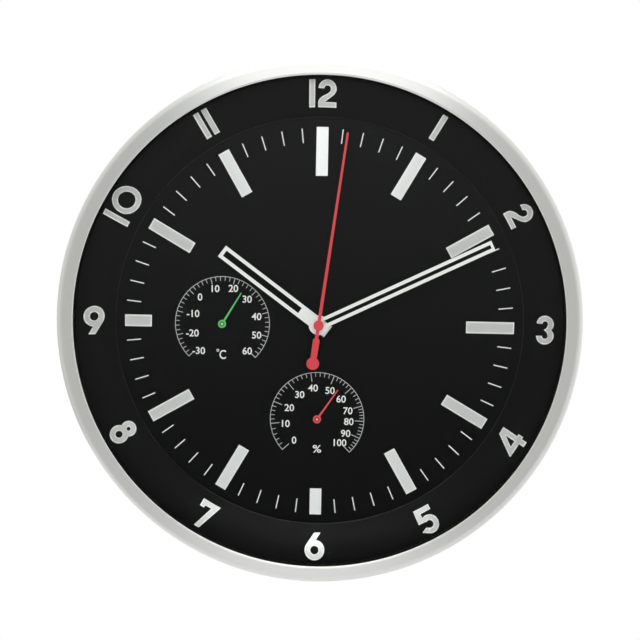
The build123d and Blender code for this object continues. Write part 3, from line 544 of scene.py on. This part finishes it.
numerals = (
    (1, one, "outward"),
    (2, moved(two, 0.05, -0.4), "outward"),
    (3, moved(three, -0.7, 0), "right"),
    (4, moved(four, 0, 0.4), "inward"),
    (5, moved(five, 0, -0.15), "inward"),
    (6, six, "inward"),
    (7, moved(seven, 0, 0.1), "inward"),
    (8, moved(eight, -0.25, 0.4), "inward"),
    (9, moved(six, 0.85, 0.35, 1.03, True), "left"),
    (10, together(moved(one, -7, 0.4), moved(zero, 4.8, 0.4)), "outward"),
    (11, together(moved(one, -2.8, 0.3), moved(one, 2.35, 0.3)), "outward"),
    (12, together(moved(one, -6.1, 0.57), moved(two, 2.45, 0.57)), "outward"),
)
band = {
    "inner": (118.7, 23.8),
    "outer": (140.6, 33.4),
    "sag": 1.7,
    "numeralMiddle": 13.45,
    "lift": 0.16,
    "sink": -0.2,
    "cell": 1.1,
}
chord = Vector(band["outer"]) - Vector(band["inner"])
bandRadius = chord.length_squared / (8 * band["sag"]) + band["sag"] / 2
bandNormal = Vector((-chord.y, chord.x)).normalized()
bandMiddle = (Vector(band["inner"]) + Vector(band["outer"])) / 2
bandCentre = bandMiddle + bandNormal * (band["sag"] - bandRadius)
bandStart = math.atan2(band["inner"][1] - bandCentre.y, band["inner"][0] - bandCentre.x)
hourAngle = 30


def onBand(hour, facing):
    # place of a numeral's point on the band, for the four ways the numerals face
    turns = {
        "outward": lambda x, y: (y, x),
        "inward": lambda x, y: (-y, -x),
        "right": lambda x, y: (x, -y),
        "left": lambda x, y: (-x, y),
    }

    def place(x, y, lift):
        out, clockwise = turns[facing](x, y)
        slope = bandStart - (band["numeralMiddle"] + out) / bandRadius
        reach = bandRadius + lift
        radius = bandCentre.x + reach * math.cos(slope)
        height = bandCentre.y + reach * math.sin(slope)
        path = bandCentre.x + bandRadius * math.cos(slope)
        turn = math.radians(hour * hourAngle) + clockwise / path
        return (radius * math.sin(turn) * mm, -height * mm, radius * math.cos(turn) * mm)

    return place


def markEdges(mesh):
    # 1 on the outline, 0 inside it: the side walls are the only four-sided faces
    edge = mesh.attributes.new("edge", "FLOAT", "POINT")
    for polygon in mesh.polygons:
        if len(polygon.vertices) == 4:
            for index in polygon.vertices:
                edge.data[index].value = 1


def paintedEdgeHighlight(material, settings):
    # painted highlight: paint that turns lighter and less metallic at the outline, where the
    # raised numerals' edges catch the light, from the mesh's edge attribute
    tree = material.node_tree
    shader = tree.nodes["Principled BSDF"]
    edge = addNode(tree, "ShaderNodeAttribute", {}, attribute_name="edge")
    spread = addNode(
        tree,
        "ShaderNodeMapRange",
        {
            "Value": edge.outputs["Fac"],
            "From Min": settings["highlightFrom"],
            "From Max": settings["highlightTo"],
        },
        interpolation_type="SMOOTHSTEP",
    )
    share = spread.outputs["Result"]
    paint = addNode(
        tree,
        "ShaderNodeMix",
        {"Factor": share, "A": (*settings["base"], 1), "B": (*settings["highlightColour"], 1)},
        data_type="RGBA",
    )
    tree.links.new(paint.outputs["Result"], shader.inputs["Base Color"])
    shine = addNode(
        tree,
        "ShaderNodeMapRange",
        {"Value": share, "To Min": settings["metallic"], "To Max": settings["highlightMetallic"]},
    )
    tree.links.new(shine.outputs["Result"], shader.inputs["Metallic"])


# numeral silver whose outline carries a painted highlight: lighter and less metallic, as where
# the raised edges catch the light
numeralFinish = {
    "name": "numeral silver with painted highlight",
    "metallic": 0.9,
    "base": colour(226, 228, 228),
    "roughness": 0.44,
    "roughnessChange": 0.03,
    "anisotropy": 0.8,
    "ringsPerMetre": 4200,
    "bump": 0.1,
    "highlightFrom": 0.2,
    "highlightTo": 0.6,
    "highlightColour": colour(253, 254, 252),
    "highlightMetallic": 0.1,
}
numeralSilver = spunMetal(numeralFinish)
paintedEdgeHighlight(numeralSilver, numeralFinish)
numeralSolids = [
    printSolid(shape, onBand(hour, facing), band["sink"], band["lift"], band["cell"])
    for hour, shape, facing in numerals
]
numeralMesh = solidPiece(
    "dial_numerals", *merged(numeralSolids), numeralSilver, "case", "bar_silver"
)
markEdges(numeralMesh)
print("numerals made")


def tickTree():
    # node tree that sets ticks round a centre, every so many left out
    tree = bpy.data.node_groups.new("ticks", "GeometryNodeTree")
    tree.is_modifier = True
    names = {}
    for label, kind in (
        ("count", "NodeSocketInt"),
        ("start", "NodeSocketFloat"),
        ("step", "NodeSocketFloat"),
        ("middle radius", "NodeSocketFloat"),
        ("size", "NodeSocketVector"),
        ("centre", "NodeSocketVector"),
        ("every", "NodeSocketInt"),
        ("keep those", "NodeSocketBool"),
        ("finish", "NodeSocketMaterial"),
    ):
        socket = tree.interface.new_socket(label, in_out="INPUT", socket_type=kind)
        names[label] = socket.identifier
    tree.interface.new_socket("Geometry", in_out="OUTPUT", socket_type="NodeSocketGeometry")
    given = tree.nodes.new("NodeGroupInput").outputs
    index = tree.nodes.new("GeometryNodeInputIndex").outputs["Index"]
    closeness = 0.1  # two whole numbers nearer than this are the same

    def calculated(operation, *values):
        node = addNode(tree, "ShaderNodeMath", dict(enumerate(values)), operation=operation)
        return node.outputs["Value"]

    turn = calculated("ADD", calculated("MULTIPLY", index, given["step"]), given["start"])
    side = calculated("MULTIPLY", calculated("SINE", turn), given["middle radius"])
    rise = calculated("MULTIPLY", calculated("COSINE", turn), given["middle radius"])
    spot = addNode(tree, "ShaderNodeCombineXYZ", {"X": side, "Z": rise})
    shift = addNode(
        tree,
        "ShaderNodeVectorMath",
        {0: spot.outputs["Vector"], 1: given["centre"]},
        operation="ADD",
    )
    points = addNode(
        tree,
        "GeometryNodePoints",
        {"Count": given["count"], "Position": shift.outputs["Vector"]},
    )
    remainder = calculated("MODULO", index, given["every"])
    onMultiple = calculated("COMPARE", remainder, 0, closeness)
    wanted = calculated("COMPARE", onMultiple, given["keep those"], closeness)
    rotation = addNode(tree, "ShaderNodeCombineXYZ", {"Y": turn})
    block = addNode(tree, "GeometryNodeMeshCube", {"Size": given["size"]})
    copies = addNode(
        tree,
        "GeometryNodeInstanceOnPoints",
        {
            "Points": points.outputs[0],
            "Selection": wanted,
            "Instance": block.outputs["Mesh"],
            "Rotation": rotation.outputs["Vector"],
        },
    )
    real = addNode(
        tree, "GeometryNodeRealizeInstances", {"Geometry": copies.outputs["Instances"]}
    )
    paint = addNode(
        tree,
        "GeometryNodeSetMaterial",
        {"Geometry": real.outputs["Geometry"], "Material": given["finish"]},
    )
    addNode(tree, "NodeGroupOutput", {0: paint.outputs["Geometry"]})
    return tree, names


tickNodes, tickNames = tickTree()
tickBlock = {"thickness": 0.06, "sink": 0.01}


def plainMesh(holder):
    # points and faces of what an object's nodes or letters make, without the object
    graph = bpy.context.evaluated_depsgraph_get()
    mesh = bpy.data.meshes.new_from_object(holder.evaluated_get(graph))
    bpy.data.objects.remove(holder)
    return [tuple(v.co) for v in mesh.vertices], [tuple(p.vertices) for p in mesh.polygons]


def tickRing(
    outer, length, width, height, count=1, start=0, step=1, centre=(0, 0), every=1, those=True
):
    # ticks round a centre, angles in degrees clockwise from the top
    rise = height + tickBlock["thickness"] / 2 - tickBlock["sink"]
    settings = {
        "count": count,
        "start": math.radians(start),
        "step": math.radians(step),
        "middle radius": (outer - length / 2) * mm,
        "size": (width * mm, tickBlock["thickness"] * mm, length * mm),
        "centre": (centre[0] * mm, -rise * mm, centre[1] * mm),
        "every": every,
        "keep those": those,
        "finish": fineGrey,
    }
    holder = bpy.data.objects.new("ticks", bpy.data.meshes.new("ticks"))
    bpy.context.scene.collection.objects.link(holder)
    modifier = holder.modifiers.new("ticks", "NODES")
    modifier.node_group = tickNodes
    for label, value in settings.items():
        modifier[tickNames[label]] = value
    return plainMesh(holder)


dialFront = 23.0
minuteTicks = {
    "outer": 112.7,
    "length": 8.2,
    "width": 0.62,
    "height": dialFront,
    "count": 60,
    "step": 6,
    "every": 5,
    "those": False,
}
solidPiece("minute_ticks", *tickRing(**minuteTicks), printWhite, "case", "bar_silver")

# Brushed faces of the hour bars, inside their pale edges
bars = {
    "front": 23.4,
    "outer": 113.2,
    "width": 6.8,
    "length": 27.7,
    "shortLength": 15.6,
    "rim": 0.55,
    "short": (6, 9),
}
barFace = spunMetal(
    {
        "name": "brushed bar faces",
        "metallic": 0.8,
        "base": colour(250, 252, 253),
        "roughness": 0.46,
        "roughnessChange": 0.03,
        "anisotropy": 0.85,
        "ringsPerMetre": 4200,
        "bump": 0.15,
    }
)
faceSolids = []
for hour in range(1, 13):
    length = bars["shortLength"] if hour in bars["short"] else bars["length"]
    faceSolids.append(
        tickRing(
            bars["outer"] - bars["rim"],
            length - 2 * bars["rim"],
            bars["width"] - 2 * bars["rim"],
            bars["front"],
            start=hour * hourAngle,
        )
    )
solidPiece("hour_bar_faces", *merged(faceSolids), barFace, "case", "bar_silver")
print("minute ticks and bar faces made")

# Scales of the two gauges
thermometer = {
    "centre": (-56.3, -0.9),
    "tensAngles": [-135 + 30 * step for step in range(10)],
    "tensLength": 3.8,
    "words": (
        ("-30", -13.7, -16.1),
        ("-20", -17.5, -5.8),
        ("-10", -17.2, 5.6),
        ("0", -13.2, 15.3),
        ("10", -4.2, 20.4),
        ("20", 6.2, 20.7),
        ("30", 14.3, 14.6),
        ("40", 19.9, 4.6),
        ("50", 20.1, -6.3),
        ("60", 14.7, -15.7),
    ),
}
hygrometer = {
    "centre": (0.0, -55.9),
    "tensAngles": [-133, -97, -69, -39.5, -8.7, 20.5, 46.5, 72.5, 91.8, 113.7, 135],
    "tensLength": 5.5,
    "words": (
        ("0", -13.3, -13.0),
        ("10", -18.3, -3.2),
        ("20", -16.4, 6.3),
        ("30", -10.4, 14.2),
        ("40", -2.7, 18.3),
        ("50", 7.3, 17.0),
        ("60", 13.9, 12.1),
        ("70", 18.0, 5.2),
        ("80", 18.7, -1.2),
        ("90", 17.0, -8.3),
        ("100", 13.8, -13.9),
    ),
}
scale = {
    "arcRadius": 27.5,
    "line": 0.36,
    "tensLine": 0.414,
    "tick": 2.5,
    "parts": 5,
    "figureSize": 5.796,
}
lettering = {"resolution": 4, "thickness": 0.03, "lift": 0.02, "boldness": 0.07}
ink = {"sink": -0.02, "lift": 0.05}


def flatPlace(height, centre):
    # place of a flat print's point on the dial
    def place(x, y, lift):
        return ((centre[0] + x) * mm, -(height + lift) * mm, (centre[1] + y) * mm)

    return place


def inked(shape, place):
    # thin layer of print that reaches a little into what it lies on
    return printSolid(shape, place, ink["sink"], ink["lift"])


def wordSolid(text, centre, size, widen=1):
    # upright figures on the dial, centred on their place
    curve = bpy.data.curves.new("figures", "FONT")
    curve.body = text
    curve.align_x = "CENTER"
    curve.align_y = "CENTER"
    curve.size = size
    curve.resolution_u = lettering["resolution"]
    curve.extrude = lettering["thickness"]
    curve.offset = lettering["boldness"]
    holder = bpy.data.objects.new("figures", curve)
    bpy.context.scene.collection.objects.link(holder)
    points, faces = plainMesh(holder)
    middle = [(max(p[a] for p in points) + min(p[a] for p in points)) / 2 for a in (0, 1)]
    place = flatPlace(dialFront + lettering["lift"], centre)
    return [place((x - middle[0]) * widen, y - middle[1], z) for x, y, z in points], faces


scalePrint, figurePrint = [], []
halfLine = scale["line"] / 2
for gauge in (thermometer, hygrometer):
    centre, angles = gauge["centre"], gauge["tensAngles"]
    arc = sector(
        (0, 0),
        scale["arcRadius"] + halfLine,
        scale["arcRadius"] - halfLine,
        90 - angles[-1],  # clockwise from the top to anticlockwise from the right
        90 - angles[0],
        steps=96,
    )
    scalePrint.append(inked({"add": [arc], "cut": []}, flatPlace(dialFront, centre)))
    for start, end in zip(angles, angles[1:]):
        scalePrint.append(
            tickRing(
                scale["arcRadius"],
                scale["tick"],
                scale["line"],
                dialFront,
                count=scale["parts"],
                start=start,
                step=(end - start) / scale["parts"],
                centre=centre,
                every=scale["parts"],
                those=False,
            )
        )
    for angle in angles:
        scalePrint.append(
            tickRing(
                scale["arcRadius"] + halfLine,
                gauge["tensLength"],
                scale["tensLine"],
                dialFront,
                start=angle,
                centre=centre,
            )
        )
    for text, x, z in gauge["words"]:
        wordPlace = (centre[0] + x, centre[1] + z)
        figurePrint.append(wordSolid(text, wordPlace, scale["figureSize"]))
unitMarks = {
    "degreePlace": (-58.8, -16.6),
    "degreeOuter": 0.8,
    "degreeInner": 0.42,
    "letterPlace": (-55.9, -19.0),
    "letterSize": 7.35,
    "letterWiden": 0.82,
    "percentPlace": (0.3, -73.8),
    "percentSize": 6.3,
    "percentWiden": 1.22,
}
degree = {
    "add": [disc((0, 0), unitMarks["degreeOuter"], steps=32)],
    "cut": [disc((0, 0), unitMarks["degreeInner"], steps=24)],
}
figurePrint += [
    wordSolid(
        "C", unitMarks["letterPlace"], unitMarks["letterSize"], unitMarks["letterWiden"]
    ),
    inked(degree, flatPlace(dialFront, unitMarks["degreePlace"])),
    wordSolid(
        "%", unitMarks["percentPlace"], unitMarks["percentSize"], unitMarks["percentWiden"]
    ),
]
solidPiece("gauge_scales", *merged(scalePrint), fineGrey, "case", "bar_silver")
solidPiece("gauge_figures", *merged(figurePrint), printWhite, "case", "bar_silver")
print("gauge scales made")

# Rings pressed into the hubs of the gauge needles, drawn as flat rings in a darker copy of each
# needle's colour: painted shade in the pressed grooves
hubRing = {"outer": 1.45, "inner": 0.85, "front": 24.9, "sink": -0.02, "lift": 0.02}
hubShape = {
    "add": [disc((0, 0), hubRing["outer"], steps=40)],
    "cut": [disc((0, 0), hubRing["inner"], steps=32)],
}
for gauge, body, slotName, pressedRingShade in (
    (thermometer, "temperature", "needle_green", colour(24, 116, 52)),
    (hygrometer, "humidity", "needle_red", colour(150, 34, 40)),
):
    place = flatPlace(hubRing["front"], gauge["centre"])
    solidPiece(
        slotName + "_ring",
        *printSolid(hubShape, place, hubRing["sink"], hubRing["lift"]),
        # the darker ring colour is painted shade of the groove
        surface(slotName + " ring", pressedRingShade, 0.5),
        body,
        slotName,
    )

# Edges that catch the light, one beside the dial and one over the glass, and a dark bead at the
# gasket's edge that paints the shadow in the gap there
edges = {
    "band_edge": {
        "circle": 118.72,
        "front": 23.62,
        "radius": 0.22,
        "finish": surface("polished edge", colour(24, 24, 25), 0.25, specular=0.8),
        "slot": "bowl_plastic",
    },
    "lip_edge": {
        "circle": 140.42,
        "front": 37.57,
        "radius": 0.42,
        "finish": surface("cut edge", colour(252, 252, 250), 0.3, metallic=0.85),
        "slot": "frame_metal",
    },
    # dark bead at the gasket's edge, darker than the rubber: painted shadow in the gap between
    # the band and the lip
    "gasket_shadow": {
        "circle": 139.95,
        "front": 37.2,
        "radius": 0.45,
        "finish": surface("gasket shadow", colour(8, 8, 9), 0.7, specular=0.1),
        "slot": "soft_rubber",
    },
}


def roundBead(name, settings, steps=240, sides=10):
    # round bead along an edge of the case, centred on the hands' axis
    vertices, faces = [], []
    for step in range(steps):
        turn = 2 * math.pi * step / steps
        here = step * sides
        there = (step + 1) % steps * sides
        for side in range(sides):
            tilt = 2 * math.pi * side / sides
            reach = (settings["circle"] + settings["radius"] * math.cos(tilt)) * mm
            lift = (settings["front"] + settings["radius"] * math.sin(tilt)) * mm
            vertices.append((reach * math.sin(turn), -lift, reach * math.cos(turn)))
            following = (side + 1) % sides
            faces.append((here + side, there + side, there + following, here + following))
    mesh = solidPiece(name, vertices, faces, settings["finish"], "case", settings["slot"])
    for polygon in mesh.polygons:
        polygon.use_smooth = True


for name, settings in edges.items():
    roundBead(name, settings)

# Cross recesses of the cover's screws, drawn as thin dark crosses on the heads: painted shade in
# the recesses
coverScrews = {
    "count": 6,
    "first": 30,
    "circle": 136.0,
    "back": 0.3,
    "sink": 0.05,
    "length": 2.9,
    "width": 0.62,
}
recesses = [
    tickRing(
        coverScrews["circle"] + tall / 2,
        tall,
        wide,
        coverScrews["back"] - coverScrews["sink"],
        count=coverScrews["count"],
        start=coverScrews["first"],
        step=360 / coverScrews["count"],
    )
    for tall, wide in (
        (coverScrews["length"], coverScrews["width"]),
        (coverScrews["width"], coverScrews["length"]),
    )
]
# dark colour of the crosses is painted shade, not the screws' own colour
recessShade = surface("recess", colour(26, 26, 27), 0.6)
solidPiece("screw_recesses", *merged(recesses), recessShade, "case", "screw_steel")

# Coloured end of the cell's sleeve
cell = {
    "axis": -19.4,
    "height": 11.1,
    "radius": 7.1,
    "sink": 0.02,
    "skin": 0.05,
    "from": 9.0,
    "to": 24.4,
}


def tube(start, end, radius, skin, steps=72):
    # thin closed sleeve round the cell, whose axis runs along X
    corners = ((start, radius), (end, radius), (end, radius + skin), (start, radius + skin))
    vertices, faces = [], []
    for step in range(steps):
        turn = 2 * math.pi * step / steps
        for along, reach in corners:
            height = cell["height"] + reach * math.cos(turn)
            rise = cell["axis"] + reach * math.sin(turn)
            vertices.append((along * mm, -height * mm, rise * mm))
    for step in range(steps):
        here, there = step * 4, (step + 1) % steps * 4
        for corner in range(4):
            following = (corner + 1) % 4
            faces.append((here + corner, here + following, there + following, there + corner))
    return vertices, faces


solidPiece(
    "cell_band",
    *tube(cell["from"], cell["to"], cell["radius"] - cell["sink"], cell["skin"]),
    surface("cell band", colour(206, 158, 74), 0.3, metallic=0.8),
    "case",
    "cell_sleeve",
)

# Marks moulded on the movement's back: the poles of the cell and the way the knob turns
marks = {
    "back": 3.8,
    "arm": 1.5,
    "line": 0.5,
    "plus": (20.5, -9.6),
    "minus": (-20.5, -9.6),
    "knob": (16.39, -3.63),
    "arrowRadius": 7.6,
    "arrowFrom": 30,
    "arrowTo": 150,
    "arrowHead": 1.3,
    "arrowTip": 12,
}


def backPlace(height, centre):
    # place of a flat mark's point on a face that looks to the wall
    def place(x, y, lift):
        return ((centre[0] - x) * mm, -(height - lift) * mm, (centre[1] + y) * mm)

    return place


half, arm, turnRadius = marks["line"] / 2, marks["arm"], marks["arrowRadius"]
across, upright = bar(-arm, arm, -half, half), bar(-half, half, -arm, arm)
arrowLine = sector(
    (0, 0), turnRadius + half, turnRadius - half, marks["arrowFrom"], marks["arrowTo"], steps=24
)
arrowHead = [
    arcPoint((0, 0), turnRadius, marks["arrowFrom"] - marks["arrowTip"]),
    arcPoint((0, 0), turnRadius - marks["arrowHead"], marks["arrowFrom"]),
    arcPoint((0, 0), turnRadius + marks["arrowHead"], marks["arrowFrom"]),
]
markSolids = [
    inked({"add": outlines, "cut": []}, backPlace(marks["back"], marks[spot]))
    for outlines, spot in (
        ([across, upright], "plus"),
        ([across], "minus"),
        ([arrowLine, arrowHead], "knob"),
    )
]
solidPiece("movement_marks", *merged(markSolids), printWhite, "case", "movement_plastic")
print("small pieces made")

# Stage: white to the camera, soft light on the object, and a darker room before the glass
stage = {"half": 2.2, "height": -1.4, "grey": 0.8, "roughness": 0.9}
white = (1, 1, 1, 1)
floorMesh = bpy.data.meshes.new("floor")
floorOutline = bar(-stage["half"], stage["half"], -stage["half"], stage["half"])
floorMesh.from_pydata([(x, y, 0) for x, y in floorOutline], [], [(0, 1, 2, 3)])
floor = bpy.data.objects.new("floor", floorMesh)
floor.location = (0, 0, stage["height"])
bpy.context.scene.collection.objects.link(floor)
floorFinish, floorTree, floorShader = bareMaterial("pale floor", [stage["grey"]] * 3)
floorShader.inputs["Roughness"].default_value = stage["roughness"]
floorGlow = addNode(floorTree, "ShaderNodeEmission", {"Color": white})
mixToOutput(
    floorTree,
    "Material Output",
    anyRay(floorTree, "Is Camera Ray", "Is Glossy Ray", "Is Transmission Ray"),
    floorShader.outputs["BSDF"],
    floorGlow.outputs["Emission"],
)
floorMesh.materials.append(floorFinish)

studio = {
    "left": 0.86,
    "right": 1.0,
    "sideSpan": (-0.2, 1.0),
    "farSide": 0.08,
    "farAim": (-0.45, 0.75, -0.5),
    "farSpan": (0.5, 0.95),
    "darkBelow": 0.01,
    "darkAbove": 0.12,
    "darkSpan": (-0.35, 0.2),
    "darkCone": 15.5,
    "brightCone": 27,
    "darkTilt": 5,
    "tint": (1, 1, 0.97),
    "boxWidth": 1.1,
    "boxHeight": 0.9,
    "boxDistance": 1.5,
    "boxElevation": 42,
    "boxPower": 7.9,
}
world = bpy.data.worlds.new("studio")
bpy.context.scene.world = world
world.use_nodes = True
worldTree = world.node_tree
direction = worldTree.nodes.new("ShaderNodeTexCoord").outputs["Generated"]
axes = addNode(worldTree, "ShaderNodeSeparateXYZ", {"Vector": direction}).outputs


def towards(aim):
    # how far a direction points along this one
    product = addNode(
        worldTree, "ShaderNodeVectorMath", {0: direction, 1: aim}, operation="DOT_PRODUCT"
    )
    return product.outputs["Value"]


def lightStep(value, span, first, second):
    # smooth step between two levels of light
    step = addNode(
        worldTree,
        "ShaderNodeMapRange",
        {
            "Value": value,
            "From Min": span[0],
            "From Max": span[1],
            "To Min": first,
            "To Max": second,
        },
        interpolation_type="SMOOTHSTEP",
    )
    return step.outputs["Result"]


tilt = math.radians(studio["darkTilt"])
toViewer = towards((0, -math.cos(tilt), -math.sin(tilt)))
cone = [math.cos(math.radians(studio[edge])) for edge in ("brightCone", "darkCone")]
room = lightStep(axes["X"], studio["sideSpan"], studio["left"], studio["right"])
room = lightStep(towards(studio["farAim"]), studio["farSpan"], room, studio["farSide"])
dark = lightStep(axes["Z"], studio["darkSpan"], studio["darkBelow"], studio["darkAbove"])
roomLight = worldTree.nodes["Background"]
roomLight.inputs["Color"].default_value = (*studio["tint"], 1)
worldTree.links.new(lightStep(toViewer, cone, room, dark), roomLight.inputs["Strength"])
whiteRoom = addNode(worldTree, "ShaderNodeBackground", {"Color": white, "Strength": 1})
mixToOutput(
    worldTree,
    "World Output",
    anyRay(worldTree, "Is Camera Ray"),
    roomLight.outputs["Background"],
    whiteRoom.outputs["Background"],
)
softbox = bpy.data.objects.new("softbox", bpy.data.lights.new("softbox", "AREA"))
bpy.context.scene.collection.objects.link(softbox)
softbox.data.shape = "RECTANGLE"
softbox.data.size = studio["boxWidth"]
softbox.data.size_y = studio["boxHeight"]
softbox.data.energy = studio["boxPower"]
boxRise = math.radians(studio["boxElevation"])
softbox.location = (
    0,
    -studio["boxDistance"] * math.cos(boxRise),
    studio["boxDistance"] * math.sin(boxRise),
)
softbox.rotation_euler = (math.radians(90) - boxRise, 0, 0)
print("stage and light made")

view = {
    "place": (9.8, -553.5, 48.9),
    "turn": (-5.0, -1.166, 1.042),
    "focalPixels": 913.9,
    "imagePixels": 640,
    "sensorWidth": 36,
    "clipStart": 0.01,
}
camera = bpy.data.objects.new("camera", bpy.data.cameras.new("camera"))
bpy.context.scene.collection.objects.link(camera)
bpy.context.scene.camera = camera
cameraPlace = Vector(view["place"]) * mm
cameraTurn = Vector([math.radians(angle) for angle in view["turn"]])
lookTurn = Matrix.Rotation(cameraTurn.length, 3, cameraTurn.normalized())
right = lookTurn @ Vector((1, 0, 0))
up = lookTurn @ Vector((0, 0, 1))
back = lookTurn @ Vector((0, -1, 0))
camera.matrix_world = Matrix(
    (
        (right.x, up.x, back.x, cameraPlace.x),
        (right.y, up.y, back.y, cameraPlace.y),
        (right.z, up.z, back.z, cameraPlace.z),
        (0, 0, 0, 1),
    )
)
camera.data.sensor_width = view["sensorWidth"]
camera.data.lens = view["focalPixels"] / view["imagePixels"] * view["sensorWidth"]
camera.data.clip_start = view["clipStart"]
print("camera placed")

bpy.context.scene.view_settings.view_transform = "Standard"
